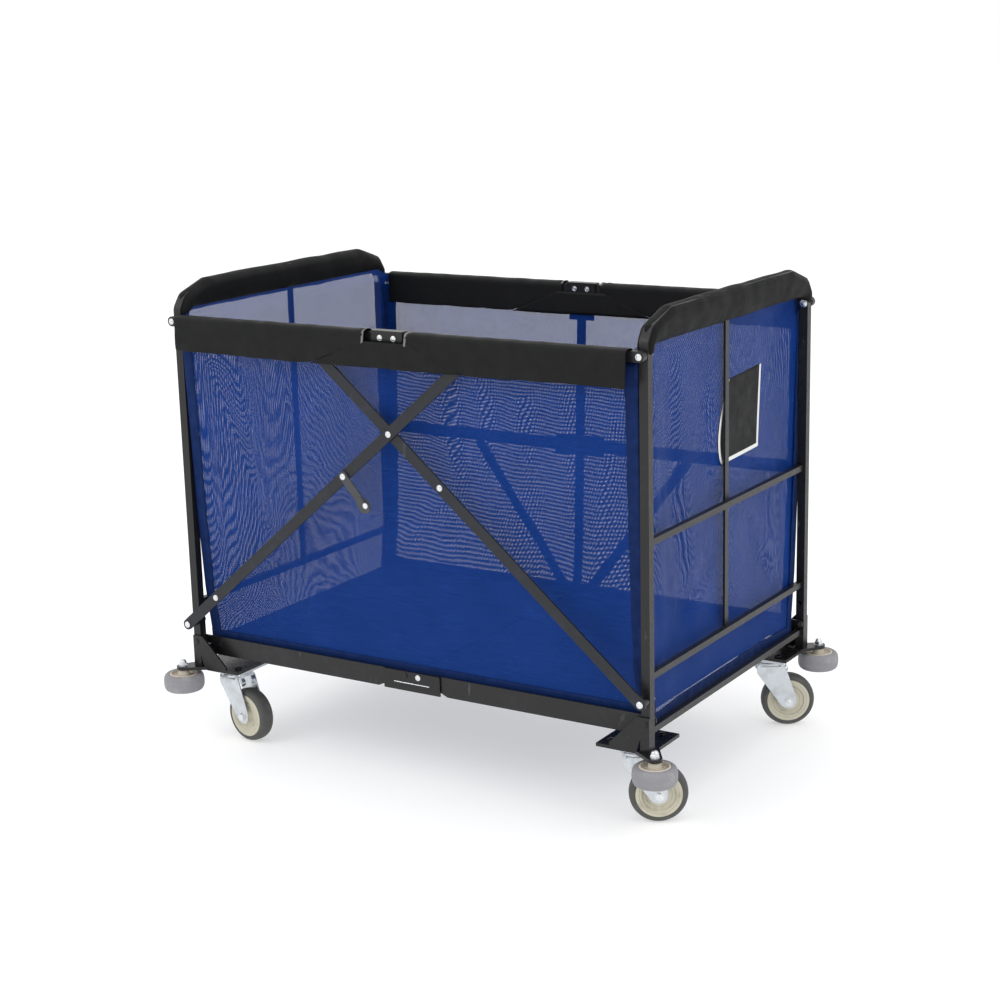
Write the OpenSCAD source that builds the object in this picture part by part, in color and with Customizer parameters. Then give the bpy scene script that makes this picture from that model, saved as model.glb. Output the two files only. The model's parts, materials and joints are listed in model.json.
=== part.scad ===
// Folding laundry cart: two steel end hoops on swivel casters, joined by hinged
// rails that fold upwards at their middles, with a mesh bag hung inside.
// X runs along the cart, Y across it, Z up. The origin is on the ground, midway
// between the four posts. The long side with the crossed bars faces -Y.

/* [Frame] */
// Distance between the posts' centres along the cart
post_pitch_x = 960; // [900:5:1020]
// Distance between the posts' centres across the cart
post_pitch_y = 628; // [600:2:660]
// Side of the square tube that the hoops are bent from
tube = 16; // [14:1:18]
// Wall thickness of the tubes
tube_wall = 1.5; // [1:0.1:2]
// Side of the square tube that the crossbars are cut from
rung_size = 11; // [10:1:16]
// Height of the hoop tube's centre line above the ground
hoop_z = 872; // [850:2:900]
// Height of the lower crossbar at each end
rung_z = 275; // [265:1:290]
// Height of the upper crossbar at the right end
upper_rung_z = 503; // [480:1:520]
// Height of the bottom tube at each end
foot_rung_z = 181; // [179:1:182]

/* [Folding rails] */
// Height of the top rails' pivots
top_pivot_z = 812; // [805:1:816]
// Height of the bottom rails' pivots
bottom_pivot_z = 198; // [198:0.5:200]
// Distance of each middle hinge pin from the cart's middle
hinge_half = 14; // [13:0.5:16]
// Height of the top rail tube
rail_h = 18; // [14:1:18]
// Width of the top rail tube across the cart
rail_w = 12; // [10:0.5:12]
// Height of the bottom angle rail
angle_h = 36; // [30:1:36]
// Radius of every pivot bolt
pivot_r = 4; // [3:0.5:4]

/* [Crossed bars] */
// Height of the crossed bars' lower pivots
bar_pivot_z = 238; // [232:1:242]
// Height at which the two bars cross
crossing_z = 647; // [630:1:660]
// Width of each crossed bar
bar_w = 20; // [16:1:22]
// Thickness of each crossed bar
bar_t = 4; // [3:0.5:4]
// Length of each crossed bar between the centres of its round ends
bar_length = 868; // [840:1:870]

/* [Casters and bumpers] */
// Diameter of the caster wheels
wheel_d = 101.6; // [95:0.1:102]
// Width of the caster tyres
tyre_w = 30; // [26:1:31]
// Distance of a wheel's axle behind its swivel axis
trail = 36; // [30:1:38]
// Distance of the swivel axes inboard of the posts
caster_inset = 46; // [44:1:48]
// Diameter of the bumper rollers
roller_d = 77; // [70:1:78]
// Height of the bumper rollers
roller_h = 32; // [28:1:33]
// Distance of the roller bolts outboard of the posts
roller_out = 25; // [24:0.5:27]

/* [Bag] */
// Thickness of the mesh walls
mesh_t = 2; // [1:0.5:2]
// Distance of the bag's long walls from the cart's middle
bag_half_y = 288; // [280:1:288]
// Height of the load floor's upper face
floor_z = 203; // [200:1:203]
// Height of the lower edge of the sleeves on the long rails
sleeve_low_z = 761; // [755:1:770]

/* [Hidden] */
$fn = 48;

// Gap left between two pieces that move past each other
gap = 0.5;
// Extra radius of a bore over the shaft that turns in it
running = 0.05;
// Extra radius of a bore at the pivots where the linkage is opened
loose = 0.6;

post_x = post_pitch_x / 2;
post_y = post_pitch_y / 2;
post_face_y = post_y + tube / 2;
post_inner_y = post_y - tube / 2;
post_inner_x = post_x - tube / 2;

// Heights of the corner plates and of the casters under them
plate_z = 144;
plate_t = 6;
plate_top = plate_z + plate_t;
caster_plate_t = 5;
race_z = 130.3;
crown_t = 5;
crown_z = race_z - gap * 0.6 - crown_t;
caster_x = post_x - caster_inset;
caster_y = post_y - caster_inset;
corner_plate_side = 104;
caster_plate_side = 92;
caster_bolt_offset = 32;
swivel_pin_r = 6;

wheel_r = wheel_d / 2;
hub_r = 40.5;
axle_r = 5;
leg_t = 3;
leg_y = tyre_w / 2 + 4;

roller_x = post_x + roller_out;
roller_y = post_y + roller_out;
roller_z = 120;
roller_core_r = 27;
roller_bolt_r = 5;

// Layers outboard of the posts, as distances from the cart's middle
sleeve_t = 1.2;
rail_in_y = post_face_y + 2.4 + sleeve_t + 0.4;
rail_out_y = rail_in_y + rail_w;
bar_b_y = rail_out_y + 0.6;
bar_a_y = bar_b_y + bar_t + 0.6;
latch_y = bar_a_y + bar_t + 0.8;
flap_y = bar_a_y + bar_t + 2.3;
centre_flap_y = flap_y + sleeve_t + 0.5;
sleeve_top_z = top_pivot_z + rail_h / 2 + 3.5;
sleeve_end_x = 452;

// Bottom rail: an angle whose upright leg stands just inside the posts
leg_wall = 3;
angle_out_y = post_inner_y - 5;
angle_in_y = angle_out_y - leg_wall;
angle_low_z = bottom_pivot_z + 8 - angle_h;

bar_angle = atan2(crossing_z - bar_pivot_z, post_x);
crossing_r = norm([post_x, crossing_z - bar_pivot_z]);
latch_r = crossing_r - 128.3;
catch_r = crossing_r - 130.7;
latch_length = 57;
latch_hang = -48.5;

wall_x = post_inner_x - 8;
flare_z = 660;
flare_y = post_face_y - 4;
board_x = 388;
board_t = 8;
board_end_x = 2;
peg_r = 2.5;
peg_z = floor_z - board_t / 2;
peg_places = [100, 236, 372];
gusset_t = 3.4;

// Swivel angles at rest, from +X towards +Y, as the casters were left
swivel_front_left = -10;
swivel_back_left = 20;
swivel_front_right = 32;
swivel_back_right = 32;

// ---- geometry helpers ----

function unit(v) = v / norm(v);
function left_of(v) = [-v[1], v[0]];
function short_turn(a) = a > 180 ? a - 360 : a < -180 ? a + 360 : a;

// Points of an arc of radius r that rounds the corner b between a and c
function fillet(a, b, c, r, n) =
    let (u = unit(a - b), v = unit(c - b), half = acos(u * v) / 2)
    let (middle = b + unit(u + v) * r / sin(half))
    let (p = b + u * r / tan(half) - middle, q = b + v * r / tan(half) - middle)
    let (start = atan2(p[1], p[0]), turn = short_turn(atan2(q[1], q[0]) - start))
    [for (i = [0:n]) middle + r * [cos(start + turn * i / n), sin(start + turn * i / n)]];

// A path with each inner corner rounded to radius r
function rounded(path, r, n = 4) = concat(
    [path[0]],
    [for (i = [1:len(path) - 2]) each fillet(path[i - 1], path[i], path[i + 1], r, n)],
    [path[len(path) - 1]]
);

// The path moved sideways by d, with mitred corners
function beside(path, d) = [for (i = [0:len(path) - 1])
    let (last = len(path) - 1)
    let (a = left_of(unit(i == 0 ? path[1] - path[0] : path[i] - path[i - 1])))
    let (b = left_of(unit(i == last ? path[i] - path[i - 1] : path[i + 1] - path[i])))
    let (m = unit(a + b))
    path[i] + m * d / (m * a)];

function reversed(list) = [for (i = [len(list) - 1:-1:0]) list[i]];

// Flat strip of width w along a path
module strip(path, w) {
    polygon(concat(beside(path, w / 2), reversed(beside(path, -w / 2))));
}

// Extrudes a drawing of the XZ plane along Y, from y0 to y1
module along_y(y0, y1) {
    translate([0, y1, 0]) rotate([90, 0, 0]) linear_extrude(y1 - y0) children();
}

// Extrudes a drawing of the YZ plane along X, from x0 to x1
module along_x(x0, x1) {
    translate([x0, 0, 0]) rotate([90, 0, 90]) linear_extrude(x1 - x0) children();
}

module y_cylinder(x, z, y0, y1, r) {
    translate([x, y1, z]) rotate([90, 0, 0]) cylinder(h = y1 - y0, r = r);
}

module box(low, high) {
    translate(low) cube(high - low);
}

// Copies the child to the front and, mirrored, to the back
module both_sides() {
    children();
    mirror([0, 1, 0]) children();
}

// Shows a right-hand piece at the left end
module at_left() {
    mirror([1, 0, 0]) children();
}

// Square tube along Y, centred on x and z
module cross_tube(x, z, half_y) {
    half = rung_size / 2;
    core = half - tube_wall;
    difference() {
        box([x - half, -half_y, z - half], [x + half, half_y, z + half]);
        box([x - core, -half_y - 1, z - core], [x + core, half_y + 1, z + core]);
    }
}

// ---- end frames, drawn for the right-hand end ----

hoop_corners = [
    [-post_y, plate_top], [-post_y, 832], [-post_y + 15, hoop_z - 20],
    [-post_y + 76, hoop_z], [post_y - 76, hoop_z],
    [post_y - 15, hoop_z - 20], [post_y, 832], [post_y, plate_top]
];
hoop_path = rounded(hoop_corners, 14);

module hoop() {
    color("#2b2b2e") difference() {
        along_x(post_inner_x, post_inner_x + tube) strip(hoop_path, tube);
        along_x(post_inner_x + tube_wall, post_inner_x + tube - tube_wall)
            strip(concat([hoop_path[0] - [0, 1]], hoop_path, [hoop_path[len(hoop_path) - 1] - [0, 1]]),
                  tube - 2 * tube_wall);
        for (side = [-1, 1]) for (z = [top_pivot_z, bar_pivot_z, bottom_pivot_z])
            y_cylinder(post_x, z, side * post_y - tube, side * post_y + tube, pivot_r);
    }
}

module strut() {
    color("#2b2b2e") box([post_inner_x - 4, -7, rung_z - rung_size / 2], [post_inner_x, 7, hoop_z + 7]);
}

module rungs(heights) {
    color("#2b2b2e") for (z = heights)
        cross_tube(post_inner_x + rung_size / 2, z, post_inner_y);
}

// Base plate, upright gusset and bumper arm of one corner
module corner_plate() {
    edge_x = post_x + 10;
    edge_y = -post_face_y - 2;
    difference() {
        union() {
            translate([0, 0, plate_z]) linear_extrude(plate_t) {
                translate([edge_x - corner_plate_side, edge_y]) square(corner_plate_side);
                polygon([[edge_x - 30, edge_y], [edge_x, edge_y + 30],
                         [roller_x + 9, -roller_y + 9], [roller_x - 9, -roller_y - 9]]);
                translate([roller_x, -roller_y]) circle(r = 12.7);
            }
            along_y(-post_face_y - gusset_t, -post_face_y) polygon([
                [caster_x - 22, plate_top - 1], [post_inner_x - 8, plate_top - 1],
                [post_inner_x - 1, plate_top + 22], [post_inner_x - 1, plate_top - 1],
                [post_x + 8, plate_top - 1], [post_x + 8, plate_top + 60],
                [post_inner_x - 6, plate_top + 60], [caster_x - 22, plate_top + 6]
            ]);
        }
        translate([roller_x, -roller_y, plate_z - 1])
            cylinder(h = plate_t + 2, r = roller_bolt_r);
        y_cylinder(post_x, bottom_pivot_z, -post_face_y - gusset_t - 1, -post_face_y, pivot_r);
        caster_bolt_places() translate([0, 0, plate_z - 1]) cylinder(h = plate_t + 2, r = pivot_r);
    }
}

module caster_bolt_places() {
    for (dx = [-1, 1]) for (dy = [-1, 1])
        translate([caster_x + dx * caster_bolt_offset, -caster_y + dy * caster_bolt_offset, 0])
            children();
}

module corner_plates() {
    color("#303033") both_sides() corner_plate();
}

// Fixed part of one caster: top plate, bearing race and swivel pin with its head
module caster_plate() {
    difference() {
        union() {
            translate([caster_x - caster_plate_side / 2, -caster_y - caster_plate_side / 2,
                       plate_z - caster_plate_t])
                cube([caster_plate_side, caster_plate_side, caster_plate_t]);
            translate([caster_x, -caster_y, race_z])
                cylinder(h = plate_z - caster_plate_t - race_z + 1, r = 27);
        }
        caster_bolt_places() translate([0, 0, race_z]) cylinder(h = 20, r = pivot_r);
    }
    translate([caster_x, -caster_y, crown_z - 3]) cylinder(h = 12, r = swivel_pin_r);
    translate([caster_x, -caster_y, crown_z - 7.5]) cylinder(h = 7, r = 10, $fn = 6);
}

module caster_plates() {
    color("#c9d0d4") both_sides() caster_plate();
}

// Padded cover over the hoop's top, open below, drawn for the right-hand end
module hoop_sleeve() {
    color("#26272a") difference() {
        along_x(post_x - 15, post_x + 15) sleeve_profile(7, 820);
        along_x(post_x - 12.4, post_x + 12.4) sleeve_profile(0.3, 810);
    }
}

// Region under the hoop's outline grown by d and above height low_z
module sleeve_profile(d, low_z) {
    half = post_face_y + min(d, 2);
    intersection() {
        polygon(beside(hoop_path, tube / 2 + d));
        translate([-half, low_z]) square([2 * half, 200]);
    }
}

module end_wall() {
    color("#2f5cae") along_x(wall_x - mesh_t, wall_x) polygon([
        [-bag_half_y, floor_z], [bag_half_y, floor_z], [bag_half_y, flare_z],
        [flare_y, 800], [flare_y, 826], [post_y - 16, 846], [post_y - 80, 862],
        [-post_y + 80, 862], [-post_y + 16, 846], [-flare_y, 826], [-flare_y, 800],
        [-bag_half_y, flare_z]
    ]);
}

// Strip of floor cloth between the end wall and the hinged floor board
module floor_strip() {
    color("#204074")
        box([board_x + 2, -bag_half_y + 2, floor_z - 3], [wall_x, bag_half_y - 2, floor_z - 0.3]);
}

// Bolt along Y through the post, with a round head outside and a nut inside.
// head_y and nut_y are the faces that the head and the nut bear on.
module y_bolt(x, z, head_y, nut_y, r = pivot_r) {
    y_cylinder(x, z, head_y - 0.5, nut_y + 0.5, r);
    y_cylinder(x, z, head_y - 2.6, head_y, 6);
    translate([x, nut_y + 4, z]) rotate([90, 0, 0]) cylinder(h = 4, r = 7, $fn = 6);
}

// Fasteners of one corner: pivot bolts, caster bolts and the roller's bolt
module corner_fasteners(with_bar, bar_y) {
    y_bolt(post_x, top_pivot_z, -rail_out_y - 0.3, -post_inner_y);
    y_cylinder(post_x, top_pivot_z, -rail_in_y + 0.2, -post_face_y, 7);
    y_bolt(post_x, bottom_pivot_z, -post_face_y - gusset_t, -angle_in_y + 0.4);
    y_cylinder(post_x, bottom_pivot_z, -post_inner_y, -angle_out_y - 0.3, 7);
    if (with_bar) {
        y_bolt(post_x, bar_pivot_z, -bar_y - bar_t - 0.4, -post_inner_y);
        y_cylinder(post_x, bar_pivot_z, -bar_y + 0.3, -post_face_y, 8);
    }
    caster_bolt_places() {
        translate([0, 0, plate_z - caster_plate_t - 5])
            cylinder(h = plate_t + caster_plate_t + 5.5, r = pivot_r);
        translate([0, 0, plate_top]) cylinder(h = 3, r = 6.5);
        translate([0, 0, plate_z - caster_plate_t - 4]) cylinder(h = 4, r = 7, $fn = 6);
    }
    translate([roller_x, -roller_y, 0]) {
        translate([0, 0, 95]) cylinder(h = 64, r = roller_bolt_r);
        translate([0, 0, 96]) cylinder(h = 7, r = 8, $fn = 6);
        translate([0, 0, plate_top]) cylinder(h = 7, r = 8.5, $fn = 6);
        translate([0, 0, plate_top + 7]) intersection() {
            sphere(r = 7.3);
            translate([-10, -10, 0]) cube(20);
        }
    }
}

module end_fasteners(bar_y) {
    color("#d7dbde") {
        corner_fasteners(true, bar_y);
        mirror([0, 1, 0]) corner_fasteners(false, bar_y);
    }
}

// ---- left end ----

module left_hoop() { at_left() hoop(); }
module left_strut() { at_left() strut(); }
module left_rungs() { at_left() rungs([foot_rung_z, rung_z]); }
module left_corner_plates() { at_left() corner_plates(); }
module left_caster_plates() { at_left() caster_plates(); }
module left_hoop_sleeve() { at_left() hoop_sleeve(); }
module left_wall() { at_left() end_wall(); }
module left_floor_strip() { at_left() floor_strip(); }
module left_fasteners() { at_left() end_fasteners(bar_a_y); }

// ---- right end ----

module right_hoop() { hoop(); }
module right_strut() { strut(); }
module right_rungs() { rungs([foot_rung_z, rung_z, upper_rung_z]); }
module right_corner_plates() { corner_plates(); }
module right_caster_plates() { caster_plates(); }
module right_hoop_sleeve() { hoop_sleeve(); }
module right_wall() { end_wall(); }
module right_floor_strip() { floor_strip(); }
module right_fasteners() { end_fasteners(bar_b_y); }

// Plain cloth patch sewn to the outside of the right-hand wall
module label_patch() {
    color("#28292d") along_x(wall_x, wall_x + 1)
        polygon([[-4, 570], [144, 575], [155, 723], [18, 716]]);
}

// ---- long walls of the bag ----

module long_wall() {
    along_x(-wall_x + mesh_t + 0.3, wall_x - mesh_t - 0.3) polygon([
        [-bag_half_y, floor_z + 0.3], [-bag_half_y, flare_z], [-flare_y, 800], [-flare_y, 818],
        [-flare_y + mesh_t, 818], [-flare_y + mesh_t, 800],
        [-bag_half_y + mesh_t, flare_z], [-bag_half_y + mesh_t, floor_z + 0.3]
    ]);
}

module front_wall() { color("#2f5cae") long_wall(); }
module back_wall() { color("#2f5cae") mirror([0, 1, 0]) long_wall(); }

// Webbing sewn to the outside of the back wall: a band, a centre strap and a V
module back_harness() {
    color("#1d3468") along_y(bag_half_y, bag_half_y + 1.4) {
        translate([-wall_x + 4, 488]) square([2 * wall_x - 8, 24]);
        translate([-55, 480]) square([110, 40]);
        translate([-10, floor_z]) square([20, flare_z - floor_z - 4]);
        for (side = [-1, 1]) strip([[side * 28, floor_z + 2], [side * 242, 492]], 20);
    }
}

// ---- top rails ----

// Half of a top rail, drawn at the right-hand front: a tube with round eyes
module top_rail() {
    difference() {
        along_y(-rail_out_y, -rail_in_y) {
            translate([hinge_half, top_pivot_z - rail_h / 2])
                square([post_x - hinge_half, rail_h]);
            for (x = [hinge_half, post_x]) translate([x, top_pivot_z]) circle(r = rail_h / 2);
        }
        box([hinge_half + 14, -rail_out_y + tube_wall, top_pivot_z - rail_h / 2 + tube_wall],
            [post_x - 14, -rail_in_y - tube_wall, top_pivot_z + rail_h / 2 - tube_wall]);
        for (x = [hinge_half, post_x])
            y_cylinder(x, top_pivot_z, -rail_out_y - 1, -rail_in_y + 1, pivot_r + running);
    }
}

module right_top_rails() { color("#2b2b2e") both_sides() top_rail(); }
module left_top_rails() { at_left() right_top_rails(); }

// Cloth sleeve over half a top rail, open below, cut back where the rails fold together
module top_sleeve() {
    profile = [
        [sleeve_end_x, sleeve_low_z], [sleeve_end_x, sleeve_top_z],
        [40, sleeve_top_z], [40, top_pivot_z - 8], [160, sleeve_low_z]
    ];
    difference() {
        along_y(-flap_y - sleeve_t, -rail_in_y + 0.4 + sleeve_t) polygon(profile);
        box([0, -flap_y, sleeve_low_z - 1],
            [sleeve_end_x + 1, -rail_in_y + 0.4, sleeve_top_z - sleeve_t]);
    }
}

module right_top_sleeves() { color("#26272a") both_sides() top_sleeve(); }
module left_top_sleeves() { at_left() right_top_sleeves(); }

// Loose cloth flaps that close the sleeves below the middle hinges
module centre_sleeves() {
    flap = [[-158, sleeve_low_z], [158, sleeve_low_z], [64, top_pivot_z - 13], [-64, top_pivot_z - 13]];
    color("#26272a") both_sides() {
        along_y(-centre_flap_y - sleeve_t, -centre_flap_y) polygon(flap);
        along_y(-rail_in_y + 0.4 + sleeve_t + 0.5, -rail_in_y + 0.4 + 2 * sleeve_t + 0.5)
            polygon(flap);
    }
}

// Channel over both halves of a top rail; its web is the stop that keeps the middle from sinking
module top_hinge() {
    web_z = top_pivot_z + rail_h / 2 + 0.3;
    difference() {
        box([-32, -rail_out_y - 3.3, top_pivot_z - rail_h / 2], [32, -rail_in_y + 3.3, web_z + 3]);
        box([-33, -rail_out_y - 0.3, top_pivot_z - 40], [33, -rail_in_y + 0.3, web_z]);
        for (x = [-hinge_half, hinge_half])
            y_cylinder(x, top_pivot_z, -rail_out_y - 5, -rail_in_y + 5, pivot_r);
    }
}

module top_hinges() { color("#303033") both_sides() top_hinge(); }

module top_hinge_pins() {
    color("#d7dbde") both_sides() for (x = [-hinge_half, hinge_half]) {
        y_cylinder(x, top_pivot_z, -rail_out_y - 3.6, -rail_in_y + 3.6, pivot_r);
        y_cylinder(x, top_pivot_z, -rail_out_y - 5.5, -rail_out_y - 3.3, 5.5);
        y_cylinder(x, top_pivot_z, -rail_in_y + 3.3, -rail_in_y + 5.3, 5.5);
    }
}

// ---- bottom rails and load floor ----

// Half of a bottom rail, drawn at the right-hand front: an angle with flat eyes and
// welded pegs that carry the load floor
module bottom_rail(middle_clearance) {
    difference() {
        union() {
            along_y(-angle_out_y, -angle_in_y) {
                for (x = [hinge_half, post_x]) translate([x, bottom_pivot_z]) circle(r = 8);
                polygon([
                    [hinge_half, bottom_pivot_z + 8], [hinge_half, bottom_pivot_z - 8],
                    [30, bottom_pivot_z - 8], [74, angle_low_z], [post_x - 14, angle_low_z],
                    [post_x - 14, bottom_pivot_z - 8], [post_x, bottom_pivot_z - 8],
                    [post_x, bottom_pivot_z + 8]
                ]);
            }
            box([74, -angle_out_y, angle_low_z],
                [post_x - 14, -angle_in_y + 8, angle_low_z + leg_wall]);
            for (x = peg_places) y_cylinder(x, peg_z, -angle_in_y - 1, -bag_half_y + 20, peg_r);
        }
        y_cylinder(post_x, bottom_pivot_z, -angle_out_y - 1, -angle_in_y + 1, pivot_r + running);
        y_cylinder(hinge_half, bottom_pivot_z, -angle_out_y - 1, -angle_in_y + 1,
                   pivot_r + middle_clearance);
    }
}

module right_bottom_rails() { color("#303033") both_sides() bottom_rail(loose); }
module left_bottom_rails() { color("#303033") at_left() both_sides() bottom_rail(running); }

// Flat plate outside the two bottom rails, between the rails and the posts' plane
module bottom_hinge() {
    difference() {
        box([-60, -angle_out_y - 3.3, angle_low_z], [60, -angle_out_y - 0.3, bottom_pivot_z + 8]);
        for (x = [-hinge_half, hinge_half])
            y_cylinder(x, bottom_pivot_z, -angle_out_y - 5, -angle_out_y + 5, pivot_r);
    }
}

module bottom_hinges() { color("#3a3a3d") both_sides() bottom_hinge(); }

module bottom_hinge_pins() {
    color("#d7dbde") both_sides() for (x = [-hinge_half, hinge_half]) {
        y_cylinder(x, bottom_pivot_z, -angle_out_y - 3.6, -angle_in_y + 0.8, pivot_r);
        y_cylinder(x, bottom_pivot_z, -angle_out_y - 5.5, -angle_out_y - 3.3, 5.5);
        y_cylinder(x, bottom_pivot_z, -angle_in_y + 0.4, -angle_in_y + 2.4, 6.5);
    }
}

// Half of the load floor: a cloth-covered panel that hangs on the rails' pegs
module floor_board() {
    color("#204074") difference() {
        box([board_end_x, -bag_half_y + 2.3, floor_z - board_t],
            [board_x, bag_half_y - 2.3, floor_z]);
        both_sides() for (x = peg_places)
            y_cylinder(x, peg_z, -bag_half_y - 1, -bag_half_y + 20, peg_r);
    }
}

module right_floor_board() { floor_board(); }
module left_floor_board() { at_left() floor_board(); }

// ---- crossed bars and their latch ----

// Flat bar from a post's lower pivot up to the sleeve, drawn for the left-hand post
module cross_bar(y, bore, extra_bores) {
    along_y(-y - bar_t, -y) difference() {
        translate([-post_x, bar_pivot_z]) rotate(bar_angle) {
            translate([0, -bar_w / 2]) square([bar_length, bar_w]);
            circle(r = bar_w / 2);
            translate([bar_length, 0]) circle(r = bar_w / 2);
        }
        at_bar(0) circle(r = pivot_r + running);
        at_bar(crossing_r) circle(r = bore);
        for (r = extra_bores) at_bar(r) circle(r = pivot_r);
    }
}

module at_bar(r) {
    translate([-post_x, bar_pivot_z] + r * [cos(bar_angle), sin(bar_angle)]) children();
}

module cross_bar_a() { color("#35373c") cross_bar(bar_a_y, pivot_r, [latch_r, 96]); }
module cross_bar_b() { color("#35373c") mirror([1, 0, 0]) cross_bar(bar_b_y, pivot_r + loose, [catch_r]); }

// Bar A carries the crossing rivet, the latch's rivet and a spare one low down
module bar_a_rivets() {
    color("#d7dbde") {
        along_y(-bar_a_y - bar_t - 0.3, -bar_b_y - 0.2) at_bar(crossing_r) circle(r = pivot_r);
        along_y(-bar_a_y - bar_t - 2.6, -bar_a_y - bar_t) at_bar(crossing_r) circle(r = 6);
        along_y(-latch_y - 3.6, -bar_a_y) at_bar(latch_r) circle(r = pivot_r);
        along_y(-latch_y - 5.4, -latch_y - 3.3) at_bar(latch_r) circle(r = 5.5);
        along_y(-bar_a_y - bar_t - 0.3, -bar_a_y) at_bar(96) circle(r = pivot_r);
        along_y(-bar_a_y - bar_t - 2.6, -bar_a_y - bar_t) at_bar(96) circle(r = 5.5);
    }
}

module bar_b_rivet() {
    color("#d7dbde") mirror([1, 0, 0]) {
        along_y(-bar_b_y - bar_t - 0.3, -bar_b_y) at_bar(catch_r) circle(r = pivot_r);
        along_y(-bar_b_y - bar_t - 2.6, -bar_b_y - bar_t) at_bar(catch_r) circle(r = 6);
    }
}

// Link that hangs from bar A and snaps over bar B's rivet when the cart is folded
module latch() {
    color("#4a4c4e") at_latch() {
        difference() {
            along_y(-latch_y - 3, -latch_y) {
                translate([0, -8]) square([latch_length + 8, 16]);
                circle(r = 9);
                translate([latch_length + 8, 0]) circle(r = 13);
            }
            y_cylinder(0, 0, -latch_y - 4, -latch_y + 1, pivot_r + running);
        }
        y_cylinder(latch_length, 0, -latch_y - 7, -latch_y - 2.5, 9);
    }
}

module at_latch() {
    translate([-post_x + latch_r * cos(bar_angle), 0, bar_pivot_z + latch_r * sin(bar_angle)])
        rotate([0, -latch_hang, 0]) children();
}

// ---- casters, drawn on the swivel axis with the wheel behind it along +X ----

module at_caster(side_x, side_y, angle) {
    translate([side_x * caster_x, side_y * caster_y, 0]) rotate(angle) children();
}

// Swivelling fork with its crown, two tapered legs and the axle bolt
module fork() {
    leg_top = crown_z + crown_t;
    color("#c9d0d4") {
        difference() {
            union() {
                translate([0, 0, crown_z]) cylinder(h = crown_t, r = 29);
                box([-24, -leg_y, crown_z], [27, leg_y, crown_z + crown_t]);
                for (side = [-1, 1]) along_y(side * (leg_y + leg_t / 2) - leg_t / 2,
                                             side * (leg_y + leg_t / 2) + leg_t / 2)
                    polygon([[-26, leg_top], [27, leg_top], [29, leg_top - 12],
                             [trail + 13, wheel_r + 2], [trail + 10, wheel_r - 9],
                             [trail, wheel_r - 13], [trail - 10, wheel_r - 9],
                             [-26, leg_top - 14]]);
            }
            translate([0, 0, crown_z - 1]) cylinder(h = crown_t + 2, r = swivel_pin_r + running);
        }
        y_cylinder(trail, wheel_r, -leg_y - leg_t - 1, leg_y + leg_t + 1, axle_r);
        for (side = [-1, 1])
            y_cylinder(trail, wheel_r, side * (leg_y + leg_t + 2) - 2, side * (leg_y + leg_t + 2) + 2, 8.5);
    }
}

// Wheel centre with a raised rim, a sunken web and a bearing boss
module hub() {
    half = tyre_w / 2;
    color("#c8c4b0") at_axle() rotate_extrude($fn = 96) polygon([
        [axle_r + running, -half - 3.5], [13, -half - 3.5], [14, -half + 1], [29, -half + 2],
        [30, -half - 0.5], [hub_r - 1, -half - 0.5], [hub_r, -half + 1],
        [hub_r, half - 1], [hub_r - 1, half + 0.5], [30, half + 0.5],
        [29, half - 2], [14, half - 1], [13, half + 3.5], [axle_r + running, half + 3.5]
    ]);
}

// Tyre with rounded shoulders
module tyre() {
    half = tyre_w / 2;
    color("#6d6f6b") at_axle() rotate_extrude($fn = 96) polygon([
        [hub_r, -half + 1], [hub_r + 2, -half], [wheel_r - 7, -half], [wheel_r - 3, -half + 1.5],
        [wheel_r - 0.8, -half + 5], [wheel_r, -half + 10], [wheel_r, half - 10],
        [wheel_r - 0.8, half - 5], [wheel_r - 3, half - 1.5], [wheel_r - 7, half],
        [hub_r + 2, half], [hub_r, half - 1]
    ]);
}

module at_axle() {
    translate([trail, 0, wheel_r]) rotate([90, 0, 0]) children();
}

// ---- bumper rollers ----

module at_roller(side_x, side_y) {
    translate([side_x * roller_x, side_y * roller_y, roller_z]) children();
}

// Core with dished faces and a boss that reaches up to the arm
module bumper_core() {
    half = roller_h / 2;
    color("#d8cfc2") rotate_extrude($fn = 96) polygon([
        [roller_bolt_r + running, -half + 0.5], [11, -half + 0.5], [12, -half + 5],
        [22, -half + 3], [24, -half - 0.3], [roller_core_r, -half + 1],
        [roller_core_r, half - 1], [24, half + 0.8], [22, half - 3],
        [12, half - 6], [10, half + 7], [roller_bolt_r + running, half + 7]
    ]);
}

module bumper_tyre() {
    half = roller_h / 2;
    r = roller_d / 2;
    color("#8e8c93") rotate_extrude($fn = 96) polygon([
        [roller_core_r, -half + 1], [roller_core_r + 1, -half], [r - 7, -half],
        [r - 2.5, -half + 3], [r - 0.5, -half + 9], [r, 0], [r - 0.5, half - 9],
        [r - 2.5, half - 3], [r - 7, half], [roller_core_r + 1, half], [roller_core_r, half - 1]
    ]);
}

// ---- casters and rollers at the four corners ----

module fork_front_left() { at_caster(-1, -1, swivel_front_left) fork(); }
module fork_back_left() { at_caster(-1, 1, swivel_back_left) fork(); }
module fork_front_right() { at_caster(1, -1, swivel_front_right) fork(); }
module fork_back_right() { at_caster(1, 1, swivel_back_right) fork(); }

module hub_front_left() { at_caster(-1, -1, swivel_front_left) hub(); }
module hub_back_left() { at_caster(-1, 1, swivel_back_left) hub(); }
module hub_front_right() { at_caster(1, -1, swivel_front_right) hub(); }
module hub_back_right() { at_caster(1, 1, swivel_back_right) hub(); }

module tyre_front_left() { at_caster(-1, -1, swivel_front_left) tyre(); }
module tyre_back_left() { at_caster(-1, 1, swivel_back_left) tyre(); }
module tyre_front_right() { at_caster(1, -1, swivel_front_right) tyre(); }
module tyre_back_right() { at_caster(1, 1, swivel_back_right) tyre(); }

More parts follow.
